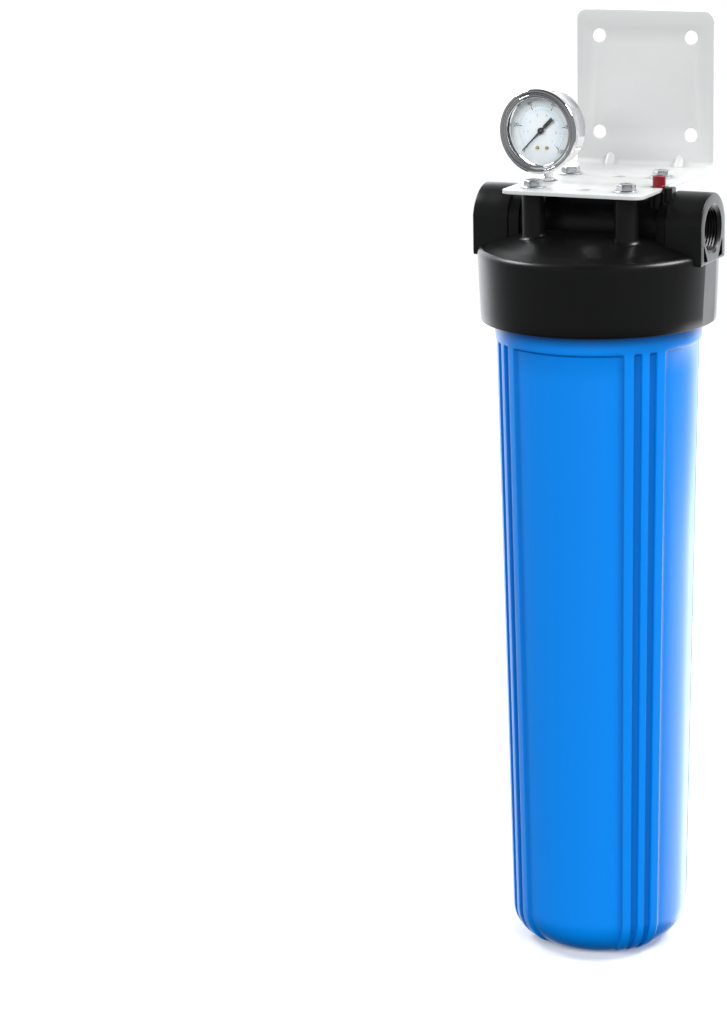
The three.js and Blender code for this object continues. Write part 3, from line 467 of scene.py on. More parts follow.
def sump_piece():
    """The sump's ribbed shell, its thread, and the seat inside for the cartridge."""
    angles = rib_angles()
    base = SUMP_FOOT - SUMP_CORNER

    def level(radius, z, depth=0.0, slope=90.0):
        tilt = math.radians(slope)
        ring = []
        for degrees in angles:
            inset = depth * rib_inset(degrees) if depth else 0.0
            reach = radius - inset * math.sin(tilt)
            a = math.radians(degrees)
            ring.append((reach * math.cos(a), reach * math.sin(a), z + inset * math.cos(tilt)))
        return ring

    loops = [[(0, 0, 0.6)], level(base * 0.5, 0.6), level(base - 4.0, 0.6), level(base - 2.5, 0.0)]
    for slope in range(0, 91, 5):
        tilt = math.radians(slope)
        loops.append(level(base + SUMP_CORNER * math.sin(tilt), SUMP_CORNER * (1 - math.cos(tilt)),
                           RIB_DEPTH * smooth_step(slope / 50), slope))
    for i in range(1, 24):
        z = SUMP_CORNER + (RIBS_TOP - SUMP_CORNER) * i / 24
        loops.append(level(crest(z), z, RIB_DEPTH))
    for i in range(7):
        share = i / 6
        depth = RIB_DEPTH * (1 - smooth_step(share))
        loops.append(level(crest(RIBS_TOP + 1), RIBS_TOP + 2.6 * share, depth))
    loops += [level(SUMP_COLLAR - 0.1, COLLAR_LOW + 1.4), level(SUMP_COLLAR, 495.5),
              level(SUMP_COLLAR, 499.0)]
    for a in range(0, 91, 30):
        tilt = math.radians(a)
        loops.append(level(SUMP_COLLAR - 1.0 + math.cos(tilt), COLLAR_TOP - 1.0 + math.sin(tilt)))
    loops += [level(SUMP_NECK, z) for z in (COLLAR_TOP, THREAD_LOW - 1, THREAD_HIGH + 3, SUMP_RIM - 1)]
    seal_seat = [(75.9, SUMP_RIM), (75.9, 542.0), (70.1, 542.0), (70.1, SUMP_RIM)]
    bore = [(68.0, SUMP_RIM), (68.0, 537.0), (NECK_BORE, 533.0), (NECK_BORE, COLLAR_TOP),
            (crest(484.4) - SUMP_WALL, 484.4)]
    loops += [level(r, z) for r, z in [(SUMP_NECK - 1, SUMP_RIM)] + seal_seat + bore]
    inner = SUMP_CORNER - 5
    foot = SUMP_FOOT - SUMP_WALL
    loops += [level(r, z) for r, z in arc(foot - inner, 6 + inner, inner, 0, -90, 10)]
    loops.append([(0, 0, 6.0)])
    sump = loft("sump_shell", loops, sharp=40)
    # Painted shade, kept per vertex for the blue material.
    shade = sump.data.attributes.new("painted_shade", "FLOAT", "POINT")
    for vertex, value in zip(sump.data.vertices, shade.data):
        x, y, z = vertex.co / MM
        # A painted shadow of the head's overhang on the top of the collar.
        if COLLAR_LOW < z <= COLLAR_TOP and math.hypot(x, y) > SUMP_COLLAR - 2:
            value.value = 0.9 * smooth_step((z - 494) / 6)
        # Painted shade in the grooves and beside the outer ribs, faded out near the collar and the foot.
        elif 8 < z < 490 and math.hypot(x, y) > crest(z) - RIB_DEPTH - (1 if z > 33 else SUMP_CORNER):
            height = smooth_step((490 - z) / 2) * smooth_step((z - 8) / 20)
            value.value = rib_shade(math.degrees(math.atan2(y, x))) * height
    keep(sump, BLUE, "sump", "blue_plastic", "sump_bowl")
    thread = helix_ridge("sump_thread", 76.2, 80.3, 518.0)
    keep(thread, BLUE, "sump", "blue_plastic")
    seat = turned("cartridge_seat", [(10.5, 5.5), (17, 5.5), (17, 19.2), (13, 19.2), (12.4, 26),
                                     (10.5, 26)])
    keep(seat, BLUE, "sump", "blue_plastic")


def helix_ridge(name, root, top, start):
    """One thread of a screw, its ends fading into the wall. A top below the root points inwards."""
    per_turn = 120
    steps = int(THREAD_TURNS * per_turn)
    loops = []
    for i in range(steps + 1):
        height = (top - root) * min(1.0, max(0.04, i / 18), max(0.04, (steps - i) / 18))
        a = TURN * i / per_turn
        z = start + THREAD_PITCH * i / per_turn
        section = ((root, -THREAD_ROOT / 2), (root + height, -THREAD_CREST / 2),
                   (root + height, THREAD_CREST / 2), (root, THREAD_ROOT / 2))
        loops.append([(reach * math.cos(a), reach * math.sin(a), z + along) for reach, along in section])
    ends = [[tuple(sum(point[k] for point in loop) / 4 for k in range(3))]
            for loop in (loops[0], loops[-1])]
    return loft(name, [ends[0], *loops, ends[1]])


# ---- Head ----

def cone_height(x, y):
    """The height of the head's upper surface at a point."""
    reach = math.hypot(x, y)
    if reach < CONE_R:
        return CONE_TOP + (CROWN_TOP - CONE_TOP) * (1 - max(reach - 40, 0) / (CONE_R - 40))
    return CONE_TOP - (reach - CONE_R) * (CONE_TOP - 561.2) / (88.4 - CONE_R)


def skirt_reach(radius, z, degrees):
    """The skirt's radius, cut back by the flat panels below the ports."""
    share = (z - SKIRT_LOW) / (ARCH_LOW - SKIRT_LOW)
    flat = FLAT_LOW_X + (FLAT_TOP_X - FLAT_LOW_X) * share
    return min(radius, flat / max(0.2, abs(math.cos(math.radians(degrees)))))


def head_shell():
    """The head without ports or bosses: skirt, shoulder, cone and the chamber inside."""
    panel_edge = {round(8.27 + k * 0.2, 2) for k in range(-3, 4)}
    near = sorted(panel_edge | {2.0, 4.5, 6.5} | {10.0 + 2.0 * k for k in range(40)})
    side = [-a for a in reversed(near)] + [0.0] + near
    angles = side + [90.0] + [180 + a for a in side] + [270.0]

    def level(radius, z, flats=False):
        ring = []
        for degrees in angles:
            reach = skirt_reach(radius, z, degrees) if flats else radius
            a = math.radians(degrees)
            ring.append((reach * math.cos(a), reach * math.sin(a), z))
        return ring

    centre = SKIRT_TOP_R - SHOULDER
    loops = [level(83.6, SKIRT_LOW + 0.6), level(84.2, SKIRT_LOW)]
    loops += [level(SKIRT_LOW_R - back, SKIRT_LOW + up, True)
              for back, up in ((0.9, 0.0), (0.3, 0.3), (0.0, 0.9))]
    for i in range(1, 7):
        z = SKIRT_LOW + 0.9 + (ARCH_LOW - SKIRT_LOW - 0.9) * i / 6
        loops.append(level(SKIRT_LOW_R + SKIRT_FLARE * i / 6, z, True))
    loops.append(level(SKIRT_TOP_R - 0.1, ARCH_LOW + 0.05))
    shoulder = arc(centre, SKIRT_TOP, SHOULDER, 0, 66, 12)
    edge_r, edge_z = shoulder[-1]
    shoulder += [(edge_r - 0.6, edge_z + 0.05), (edge_r - 1.2, edge_z - 0.25), (edge_r - 1.8, edge_z - 0.1)]
    loops += [level(r, z) for r, z in shoulder]
    for i in range(1, 7):
        reach = edge_r - 1.8 + (CONE_R - edge_r + 1.8) * i / 6
        loops.append(level(reach, cone_height(reach, 0)))
    loops += [level(50, cone_height(50, 0)), level(40, CROWN_TOP), level(15, CROWN_TOP)]
    loops.append([(0, 0, CROWN_TOP)])
    inside = [(60, 561.5), (66, 556), (66, 547), (79.2, 547), (79.2, 543), (81.8, 541), (81.8, 511),
              (83.6, 509)]
    loops.append([(0, 0, 561.5)])
    loops += [level(r, z) for r, z in inside]
    return loft("head_shell", loops, closed=True, sharp=30)


def arch_reach(a):
    """Distance from the port's axis to the edge of its boss, by angle from +Y."""
    side = ARCH_HALF / max(0.05, abs(math.cos(a)))
    if math.sin(a) < 0:
        drop = PORT_Z - ARCH_LOW
        return min(side, drop / -math.sin(a), math.hypot(ARCH_HALF, drop) - 0.6)
    return min(ARCH_R, side)


def port_piece(side):
    """A port's boss with its tapped bore, standing out of the head along X."""
    corner = math.atan2(PORT_Z - ARCH_LOW, ARCH_HALF)
    angles = sorted([TURN * i / 144 for i in range(144)]
                    + [low + near for low in (TURN - corner, math.pi + corner) for near in (-0.01, 0, 0.01)])

    def ring(x, reach):
        """A ring about the port's axis, its radius given by a function of the angle."""
        return [(side * x, reach(a) * math.cos(a), PORT_Z + reach(a) * math.sin(a)) for a in angles]

    def edge(x, inset):
        return ring(x, lambda a: arch_reach(a) - inset)

    def bore(x, radius):
        return ring(x, lambda a: radius)

    def thread_radius(x, a):
        """The tapered pipe thread's radius."""
        phase = (x / NPT_PITCH + side * a / TURN) % 1.0
        return PORT_BORE + 0.55 - 1.1 * abs(2 * phase - 1) + (x - (PORT_FACE - PORT_DEPTH)) * 0.03

    loops = [[(side * 56, 0, PORT_Z)], edge(56, 3)]
    loops += [edge(65 - 1.5 * (1 - k / 4), 1.5 * (1 - math.sqrt(1 - (1 - k / 4) ** 2))) for k in range(5)]
    loops += [edge(75, 0), edge(85, 0)]
    rounding = 1.1
    loops += [edge(PORT_FACE - rounding * (1 - math.sin(t)), rounding * (1 - math.cos(t)))
              for t in (math.pi / 2 * k / 4 for k in range(5))]
    loops += [bore(PORT_FACE - deep, PORT_BORE + wide) for deep, wide in ((0, 3.0), (0.5, 2.4), (1.8, 1.2))]
    turns, per_turn, start = 7, 12, PORT_FACE - 2.2
    for k in range(turns * per_turn + 1):
        x = start - NPT_PITCH * k / per_turn
        loops.append(ring(x, lambda a: thread_radius(x, a)))
    last = start - NPT_PITCH * turns - 0.6
    loops += [bore(last, PORT_BORE - 0.6), bore(last - 3, PORT_BORE - 0.8), bore(last - 3.4, PORT_PASSAGE),
              bore(60, PORT_PASSAGE), [(side * 60, 0, PORT_Z)]]
    name = "outlet_boss" if side > 0 else "inlet_boss"
    piece = loft(name, loops, sharp=30)
    pocket = [(20.6, 567.5), (20.6, 556.4), (19.8, 555.6), (12.4, 554.9), (12.0, 555.6), (19.4, 567.6),
              (20.2, 568.0)]
    for hand in (-1, 1):
        corners = [(hand * y, z) for y, z in pocket]
        if hand < 0:
            corners.reverse()
        loops = [[(side * x, y, z) for y, z in corners] for x in (84.5, PORT_FACE + 2)]
        middle = [sum(c[k] for c in corners) / len(corners) for k in (0, 1)]
        tool = loft("pocket", [[(side * 84.5, *middle)], *loops, [(side * (PORT_FACE + 2), *middle)]])
        boolean(piece, tool, "DIFFERENCE")
    return piece


def boss(name, x, y, radius, top, hole, hole_low=585.0):
    """A round boss with a fillet that follows the cone under it."""
    steps = 64
    loops = [[(x, y, 556.0)], circle(radius + 2.4, 556.0, steps, x, y)]
    for out, up in ((2.4, -0.1), (1.5, 0.25), (0.8, 0.85), (0.3, 1.7), (0.0, 2.8)):
        ring = circle(radius + out, 0, steps, x, y)
        loops.append([(px, py, cone_height(px, py) + up) for px, py, _ in ring])
    loops += [circle(r, z, steps, x, y)
              for r, z in ((radius, top - 0.5), (radius - 0.5, top), (hole + 0.4, top), (hole, top - 0.4),
                           (hole, hole_low))]
    loops.append([(x, y, hole_low)])
    return loft(name, loops, sharp=35)


def head_piece():
    """The head with everything moulded onto it, its spigot for the cartridge, and its thread."""
    head = head_shell()
    tube = turned("tube", [(0, -70), (TUBE_R, -70), (TUBE_R, 70), (0, 70)], 128, about="X",
                  place=Matrix.Translation((0, 0, PORT_Z * MM)))
    boolean(head, tube, "UNION")
    top = FLANGE_LOW - 0.2
    for x in (-1, 1):
        for y in (-1, 1):
            boolean(head, boss("boss", x * BOSS_AT, y * BOSS_AT, BOSS_R, top, 4.2), "UNION")
    boolean(head, boss("gauge_boss", GAUGE_X, 0, GAUGE_BOSS_R, top, 5.0, 592.0), "UNION")
    relief = boss("relief_boss", RELIEF_X, RELIEF_Y, RELIEF_BOSS_R, 605.5, 5.8, 599.0)
    boolean(head, relief, "UNION")
    for side in (-1, 1):
        boolean(head, port_piece(side), "UNION")
    lug = prism("lug", [(58.2, -14), (65.4, -14), (65.4, -6), (58.2, -6)], 590, 609.5, bevel=0.5)
    boolean(head, lug, "UNION")
    fin = prism("fin", [(58.6, -16.5), (59.9, -16.5), (59.9, -13), (58.6, -13)], 592, 608.6, bevel=0.3)
    boolean(head, fin, "UNION")
    keep(head, BLACK, "head", "black_plastic", "head_cap")
    spigot = turned("head_spigot", [(0, 521), (12.4, 521), (13, 527.8), (17, 527.8), (17, 562), (0, 562)])
    keep(spigot, BLACK, "head", "black_plastic")
    thread = helix_ridge("head_thread", 82.2, 78.3, 515.0)
    keep(thread, BLACK, "head", "black_plastic")


# ---- Bracket ----

def rounded_blank():
    """The bracket before folding: length along y from the flange's front edge, with its holes."""
    bend_start = PLATE_BACK - SHEET - BEND_R
    neutral = (BEND_R + SHEET / 2) * math.pi / 2
    plate_start = bend_start + neutral
    length = plate_start + PLATE_TOP - (FLANGE_LOW + SHEET + BEND_R)

    def to_blank(z):
        return plate_start + z - (FLANGE_LOW + SHEET + BEND_R)

    outline = []
    side, front, back = HALF_WIDTH - CORNER_R, FLANGE_FRONT + CORNER_R, length - CORNER_R
    corners = ((side, front, -90), (side, back, 0), (-side, back, 90), (-side, front, 180))
    for cx, cy, start in corners:
        if start == 0:
            outline.append((HALF_WIDTH, RELIEF_Y - NOTCH_R))
            outline += arc(RELIEF_X, RELIEF_Y, NOTCH_R, 270, 90, 18)
            outline.append((HALF_WIDTH, RELIEF_Y + NOTCH_R))
        outline += arc(cx, cy, CORNER_R, start, start + 90, 10)
    holes = [(x * BOSS_AT, y * BOSS_AT, BOLT_HOLE_R) for x in (-1, 1) for y in (-1, 1)]
    holes += [(SPARE_HOLE_X, y * SPARE_HOLE_Y, SPARE_HOLE_R) for y in (-1, 1)]
    holes.append((GAUGE_X, 0.0, GAUGE_HOLE_R))
    holes += [(x * WALL_HOLE_X, to_blank(WALL_HOLE_Z + z * WALL_HOLE_RISE), WALL_HOLE_R)
              for x in (-1, 1) for z in (-1, 1)]
    return outline, holes, bend_start, plate_start


def fold(point, bend_start, plate_start):
    """Takes a point of the flat blank to its place on the folded bracket."""
    x, along, up = point
    middle = BEND_R + SHEET / 2
    if along <= bend_start:
        return (x, along, FLANGE_LOW + SHEET / 2 + up)
    if along >= plate_start:
        return (x, PLATE_BACK - SHEET / 2 - up, FLANGE_LOW + SHEET + BEND_R + along - plate_start)
    a = (along - bend_start) / middle
    reach = middle - up
    return (x, bend_start + reach * math.sin(a), FLANGE_LOW + SHEET + BEND_R - reach * math.cos(a))


def bracket_piece():
    """The bracket, cut as a flat blank with rounded edges and then folded, and its dimples."""
    outline, holes, bend_start, plate_start = rounded_blank()
    curve = bpy.data.curves.new("blank", "CURVE")
    curve.dimensions = "2D"
    curve.fill_mode = "BOTH"
    rings = [outline] + [[(x + r * math.cos(-TURN * i / 48), y + r * math.sin(-TURN * i / 48))
                          for i in range(48)] for x, y, r in holes]
    edge = 0.45
    for ring in rings:
        spline = curve.splines.new("POLY")
        spline.points.add(len(ring) - 1)
        for point, (x, y) in zip(spline.points, ring):
            point.co = (x * MM, y * MM, 0, 1)
        spline.use_cyclic_u = True
    curve.extrude = (SHEET / 2 - edge) * MM
    curve.bevel_depth = edge * MM
    curve.bevel_resolution = 3
    curve.offset = -edge * MM
    blank = new_object("blank", curve)
    mesh = baked(blank)
    bpy.data.objects.remove(blank)
    bm = bmesh.new()
    bm.from_mesh(mesh)
    bpy.data.meshes.remove(mesh)
    bmesh.ops.remove_doubles(bm, verts=bm.verts[:], dist=1e-6)
    steps = 12
    for i in range(steps + 1):
        where = bend_start + (plate_start - bend_start) * i / steps
        geometry = bm.verts[:] + bm.edges[:] + bm.faces[:]
        bmesh.ops.bisect_plane(bm, geom=geometry, plane_co=(0, where * MM, 0), plane_no=(0, 1, 0),
                               dist=1e-7)
    for vertex in bm.verts:
        vertex.co = Vector(fold([c / MM for c in vertex.co], bend_start, plate_start)) * MM
    piece = finish_mesh("bracket_sheet", bm, sharp=50)
    keep(piece, PAINT, "head", "bracket_paint", "mounting_bracket")
    for index, side in enumerate((-1, 1)):
        rib = pressed_rib(side * DIMPLE_X)
        rib.name = f"bracket_rib_{index + 1}"
        keep(rib, PAINT, "head", "bracket_paint")


def pressed_rib(x):
    """A pressed stiffening dimple across the inside of the bend, its base sunk in the sheet."""
    corner = Vector((PLATE_BACK - SHEET, FLANGE_LOW + SHEET))
    slant = Vector((-1, 1)).normalized()
    steps, width, reach, sunk = 20, 5.0, 8.8, 0.5
    loops = []
    for i in range(1, steps):
        share = i / steps
        ridge = corner + Vector((-reach * (1 - share), reach * share))
        rise = math.sqrt(2) * (sunk + reach * min(share, 1 - share))
        half = width * math.sqrt(1 - (2 * share - 1) ** 2)
        foot = ridge - slant * rise
        loop = []
        for k in range(24):
            a = TURN * k / 24
            point = foot + slant * (rise * max(0.0, math.sin(a)))
            loop.append((x + half * math.cos(a), point.x, point.y))
        loops.append(loop)
    first = corner + Vector((-reach, -sunk))
    last = corner + Vector((sunk, reach))
    return loft("rib", [[(x, first.x, first.y)], *loops, [(x, last.x, last.y)]], sharp=60)


def hex_bolt(index, x, y):
    """A hexagon-head screw with a washer face and a chamfered top."""
    low = FLANGE_LOW + SHEET + WASHER
    top = low + BOLT_HEAD

    def hexagon(reach, z, round_to=None):
        loop = []
        for k in range(72):
            a = TURN * k / 72
            from_flat = (a + math.pi / 6) % (math.pi / 3) - math.pi / 6
            edge = min(reach / math.cos(from_flat), reach / math.cos(math.pi / 6) * 0.985)
            if round_to is not None:
                edge = min(edge, round_to)
            loop.append((x + edge * math.cos(a), y + edge * math.sin(a), z))
        return loop

    loops = [[(x, y, 588.0)], circle(3.8, 588.0, 72, x, y), circle(3.8, low, 72, x, y),
             circle(6.2, low, 72, x, y), circle(6.2, low + 0.35, 72, x, y), hexagon(BOLT_FLAT, low + 0.4)]
    for k in range(6):
        t = k / 5
        loops.append(hexagon(BOLT_FLAT, top - 0.9 + 0.9 * t, BOLT_FLAT * (1.155 - 0.21 * t)))
    loops += [circle(5.2, top, 72, x, y), circle(5.0, top - 0.15, 72, x, y), [(x, y, top - 0.15)]]
    piece = loft(f"bolt_{index}", loops, sharp=28)
    keep(piece, ZINC, "head", "zinc_steel", f"bracket_bolt_{index}")


def flat_washer(index, x, y):
    """A plain washer, just clear of the flange and the screw's head."""
    low = FLANGE_LOW + SHEET + 0.02
    high = low + WASHER - 0.04
    place = Matrix.Translation((x * MM, y * MM, 0))
    profile = [(4.3, low + 0.1), (4.5, low), (9.0, low), (9.2, low + 0.3), (9.2, high - 0.4), (8.8, high),
               (4.6, high), (4.3, high - 0.2)]
    washer = turned(f"washer_{index}", profile, 72, place)
    keep(washer, ZINC, "head", "zinc_steel", f"bracket_washer_{index}")


# ---- Relief button ----

def relief_pieces():
    """The red button with its stem, turned in one piece."""
    place = Matrix.Translation((RELIEF_X * MM, RELIEF_Y * MM, 0))
    profile = [(0, 589.0), (1.9, 589.0), (2.1, 589.4), (2.1, 589.8), (1.6, 589.8), (1.6, 591.5),
               (2.2, 591.5), (2.2, 607.5), (4.7, 607.5), (5.0, 607.9), (5.0, 610.0), (4.85, 610.2),
               (4.85, 610.6), (5.0, 610.8), (5.0, 616.4)]
    profile += arc(4.0, 616.5, 1.0, 0, 90, 5) + [(2.6, 617.5), (2.2, 617.2), (0, 617.15)]
    keep(turned("push_button", profile, 64, place), RED, "relief_plunger", "red_plastic", "relief_button")


# ---- Gauge ----

def gauge_shells():
    """The gauge's outer pieces: bezel, case, window, filling plug and stem."""
    bezel = arc(27.35, -17.5, 1.5, -172, -20, 12) + arc(30.6, -17.1, 1.9, -160, 0, 14)
    bezel += [(32.4, -15.4), (32.0, -13.4), (31.2, -11.6), (30.3, -10.7), (29.4, -10.5), (29.3, -17.3)]
    keep(turned("bezel_ring", bezel, 160, GAUGE, about="Y"), STEEL, "head", "gauge_steel", "gauge_bezel")
    case = [(0, -8.4), (27.8, -8.4), (27.8, -14.0), (29.0, -14.0), (29.0, 4.5), (29.15, 5.0), (29.15, 6.0)]
    case += arc(25.4, 6.4, 3.6, 0, 90, 8) + [(22.0, 9.7), (0, 9.7)]
    keep(turned("case_shell", case, 160, GAUGE, about="Y"), STEEL, "head", "gauge_steel", "gauge_case")
    window = [(0, -17.1), (28.6, -17.1), (29.0, -16.8), (29.0, -15.7), (28.8, -15.5), (0, -15.5)]
    pane = turned("window_pane", window, 128, GAUGE, about="Y")
    pane.visible_shadow = False
    keep(pane, CLEAR, "head", "window_acrylic", "gauge_window")
    plug = [(0, 27.0), (3.8, 27.0), (3.8, 29.3), (5.0, 29.3), (5.4, 29.7), (5.4, 30.4), (5.0, 30.9),
            (3.2, 31.0), (2.9, 30.6), (1.2, 30.6), (1.0, 30.9), (0, 30.9)]
    keep(turned("filler_plug", plug, 64, GAUGE), PLUG, "head", "plug_rubber", "gauge_fill_plug")
    stem = [(0, -55), (4.3, -55), (4.7, -54.4), (4.7, -41.4), (5.0, -41.2), (5.0, -38.2), (5.5, -38.2),
            (5.5, -37.4), (4.4, -36.9), (3.6, -36.6), (3.5, -31.0), (3.9, -29.4), (4.8, -28.8),
            (4.8, -26.5), (0, -26.5)]
    keep(turned("gauge_stem", stem, 64, GAUGE), STEEL, "head", "gauge_steel", "gauge_socket")


def dial_mark(bm, angle, inner, outer, width):
    """A thin raised bar on the dial, along a radius; angles run clockwise from the top."""
    a = math.radians(angle)
    along = Vector((math.sin(a), math.cos(a)))
    across = Vector((along.y, -along.x))
    verts = []
    for depth in (DIAL_FRONT - 0.08, DIAL_FRONT - 0.08 + 0.06):
        for reach, side in ((inner, -1), (outer, -1), (outer, 1), (inner, 1)):
            point = along * reach + across * (side * width / 2)
            verts.append(bm.verts.new(Vector((point.x, depth, point.y)) * MM))
    for face in ((0, 1, 2, 3), (7, 6, 5, 4), (0, 4, 5, 1), (1, 5, 6, 2), (2, 6, 7, 3), (3, 7, 4, 0)):
        bm.faces.new([verts[k] for k in face])


def dial_band(name, inner, outer, material):
    """A thin arc-shaped band printed on the dial, as long as the scale."""
    steps = 90
    bm = bmesh.new()
    rings = []
    for i in range(steps + 1):
        a = math.radians(DIAL_START + DIAL_SWEEP * i / steps)
        section = ((inner, 0.05), (outer, 0.05), (outer, 0), (inner, 0))
        rings.append([bm.verts.new(Vector((reach * math.sin(a), DIAL_FRONT - up, reach * math.cos(a))) * MM)
                      for reach, up in section])
    for low, high in zip(rings, rings[1:]):
        for k in range(4):
            bm.faces.new((low[k], low[(k + 1) % 4], high[(k + 1) % 4], high[k]))
    bm.faces.new(rings[0])
    bm.faces.new(rings[-1])
    keep(finish_mesh(name, bm, GAUGE), material, "head", "dial_face")


def dial_figures(name, values, size, radius, material):
    """Figures round the dial, each a raised mesh made from a text outline."""
    merged = bmesh.new()
    for index, value in enumerate(values):
        text = bpy.data.curves.new("figure", "FONT")
        text.body = str(value)
        text.size = size * MM
        text.align_x = "CENTER"
        text.align_y = "CENTER"
        text.extrude = 0.03 * MM
        label = new_object("figure", text)
        mesh = baked(label)
        bpy.data.objects.remove(label)
        a = math.radians(DIAL_START + DIAL_SWEEP * index / (len(values) - 1))
        stand = Matrix.Rotation(math.radians(90), 4, "X")
        where = Vector((radius * math.sin(a), DIAL_FRONT - 0.04, radius * math.cos(a))) * MM
        mesh.transform(Matrix.Translation(where) @ stand)
        merged.from_mesh(mesh)
        bpy.data.meshes.remove(mesh)
    bmesh.ops.remove_doubles(merged, verts=merged.verts[:], dist=1e-7)
    keep(finish_mesh(name, merged, GAUGE), material, "head", "dial_face")


def dial_pieces():
    """The dial with its two scales, figures and screws. It carries numbers only."""
    face = [(0, DIAL_FRONT), (26.2, DIAL_FRONT), (26.8, DIAL_FRONT + 0.25), (26.8, DIAL_FRONT + 0.5),
            (0, DIAL_FRONT + 0.5)]
    keep(turned("dial_plate", face, 128, GAUGE, about="Y"), DIAL, "head", "dial_face", "gauge_dial")
    black = bmesh.new()
    blue = bmesh.new()
    for i in range(51):
        long = i % 10 == 0
        half = i % 5 == 0
        dial_mark(black, DIAL_START + DIAL_SWEEP * i / 50, 17.0 if long else 18.0 if half else 18.6,
                  20.0 if long else 19.6, 0.6 if long else 0.22)
    for i in range(36):
        long = i % 5 == 0
        dial_mark(blue, DIAL_START + DIAL_SWEEP * i / 35, 14.8 if long else 15.4, 16.4,
                  0.3 if long else 0.16)
    keep(finish_mesh("dial_scale_outer", black, GAUGE), INK, "head", "dial_face")
    keep(finish_mesh("dial_scale_inner", blue, GAUGE), BLUE_INK, "head", "dial_face")
    dial_band("dial_band", 14.6, 16.6, PALE_INK)
    dial_figures("dial_figures_outer", (0, 20, 40, 60, 80, 100), 4.2, 22.2, INK)
    dial_figures("dial_figures_inner", (0, 1, 2, 3, 4, 5, 6, 7), 3.0, 12.0, BLUE_INK)
    for index, side in enumerate((-1, 1)):
        place = GAUGE @ Matrix.Translation((side * 4.0 * MM, 0, -13.4 * MM))
        profile = [(0, 0.4), (0.9, 0.4), (0.9, -0.05), (1.55, -0.05), (1.6, -0.4), (1.3, -0.85), (0.6, -1.0),
                   (0, -1.0)]
        profile = [(radius, DIAL_FRONT + up) for radius, up in profile]
        screw = turned(f"face_screw_{index + 1}", profile, 40, place, about="Y")
        slot = prism("slot", [(-2, -0.22), (2, -0.22), (2, 0.22), (-2, 0.22)], DIAL_FRONT - 2,
                     DIAL_FRONT - 0.62, about="Y", place=place)
        boolean(screw, slot, "DIFFERENCE")
        keep(screw, BRASS, "head", "gauge_brass", f"gauge_dial_screw_{index + 1}")


def pointer_pieces():
    """The needle at zero: thin tip down to the left, wide tail up to the right."""
    aim = GAUGE @ Matrix.Rotation(math.radians(DIAL_START), 4, "Y")
    blade = [(0.22, 22.5), (-0.22, 22.5), (-0.75, 3.0), (-0.75, -3.2), (-1.45, -4.4), (-1.45, -13.2),
             (-1.15, -13.6), (1.15, -13.6), (1.45, -13.2), (1.45, -4.4), (0.75, -3.2), (0.75, 3.0)]
    needle = prism("needle", blade, -12.0, -11.4, bevel=0.1, about="Y", place=aim)
    keep(needle, POINTER, "pointer_shaft", "pointer_black", "gauge_pointer")
    hub = [(0.85, -13.0), (2.0, -13.0), (2.35, -12.7), (2.35, -11.0), (2.1, -10.8), (0.85, -10.8)]
    keep(turned("needle_hub", hub, 48, aim, about="Y"), POINTER, "pointer_shaft", "pointer_black")
    cap = [(0, -13.5), (0.7, -13.5), (1.0, -13.2), (1.0, -12.9), (0, -12.9)]
    keep(turned("needle_cap", cap, 32, aim, about="Y"), DARK_STEEL, "pointer_shaft", "gauge_brass")


# ---- Stage ----

def stage_floor():
    """A plain pale slab, its top at height 0."""
    corners = [(x * FLOOR_HALF, y * FLOOR_HALF) for x, y in ((-1, -1), (1, -1), (1, 1), (-1, 1))]
    slab = [[(x, y, z) for x, y in corners] for z in (-FLOOR_DEPTH, 0)]
    floor = loft("floor", [[(0, 0, -FLOOR_DEPTH)], *slab, [(0, 0, 0)]])
    material, tree, shader = new_material("floor_white", Roughness=0.6, Specular_IOR_Level=0.1)
    pale = ramp(tree, noise(tree, 3.0, 3.0), (0.86, 0.865, 0.875), (0.88, 0.885, 0.89))
    tree.links.new(pale, shader.inputs["Base Color"])
    floor.data.materials.append(material)
    floor.visible_glossy = False
    floor.visible_diffuse = False
    floor.visible_shadow = False


def softbox(name, where, target, size, power, mirrored=True):
    """A rectangular light. One that isn't mirrored lights surfaces without showing in glossy ones."""
    light = bpy.data.lights.new(name, "AREA")
    light.shape = "RECTANGLE"
    light.size, light.size_y = size
    light.energy = power
    lamp = new_object(name, light)
    lamp.location = where
    lamp.rotation_euler = (Vector(target) - Vector(where)).to_track_quat("-Z", "Y").to_euler()
    lamp.visible_glossy = mirrored
    lamp.visible_camera = False


def soft_sun(name, azimuth, height, strength, spread_angle):
    """A broad light from far away, which glossy surfaces don't mirror."""
    sun = bpy.data.lights.new(name, "SUN")
    sun.energy = strength
    sun.angle = math.radians(spread_angle)
    lamp = new_object(name, sun)
    a, e = math.radians(azimuth), math.radians(height)
    towards = Vector((math.cos(a) * math.cos(e), math.sin(a) * math.cos(e), math.sin(e)))
    lamp.rotation_euler = (-towards).to_track_quat("-Z", "Y").to_euler()
    lamp.visible_glossy = False


def sky_ramp(tree, direction, stops):
    """Brightness by how far a direction of the room leans towards a given one."""
    where = tree.nodes.new("ShaderNodeTexCoord")
    dot = tree.nodes.new("ShaderNodeVectorMath")
    dot.operation = "DOT_PRODUCT"
    dot.inputs[1].default_value = direction
    tree.links.new(where.outputs["Generated"], dot.inputs[0])
    half = tree.nodes.new("ShaderNodeMapRange")
    half.inputs["From Min"].default_value, half.inputs["From Max"].default_value = -1.0, 1.0
    tree.links.new(dot.outputs["Value"], half.inputs["Value"])
    node = tree.nodes.new("ShaderNodeValToRGB")
    elements = node.color_ramp.elements
    while len(elements) < len(stops):
        elements.new(0.5)
    for element, (lean, level) in zip(elements, stops):
        element.position = (lean + 1) / 2
        element.color = (level * 0.97, level * 0.985, level, 1.0)
    tree.links.new(half.outputs["Result"], node.inputs["Fac"])
    return node.outputs["Color"]


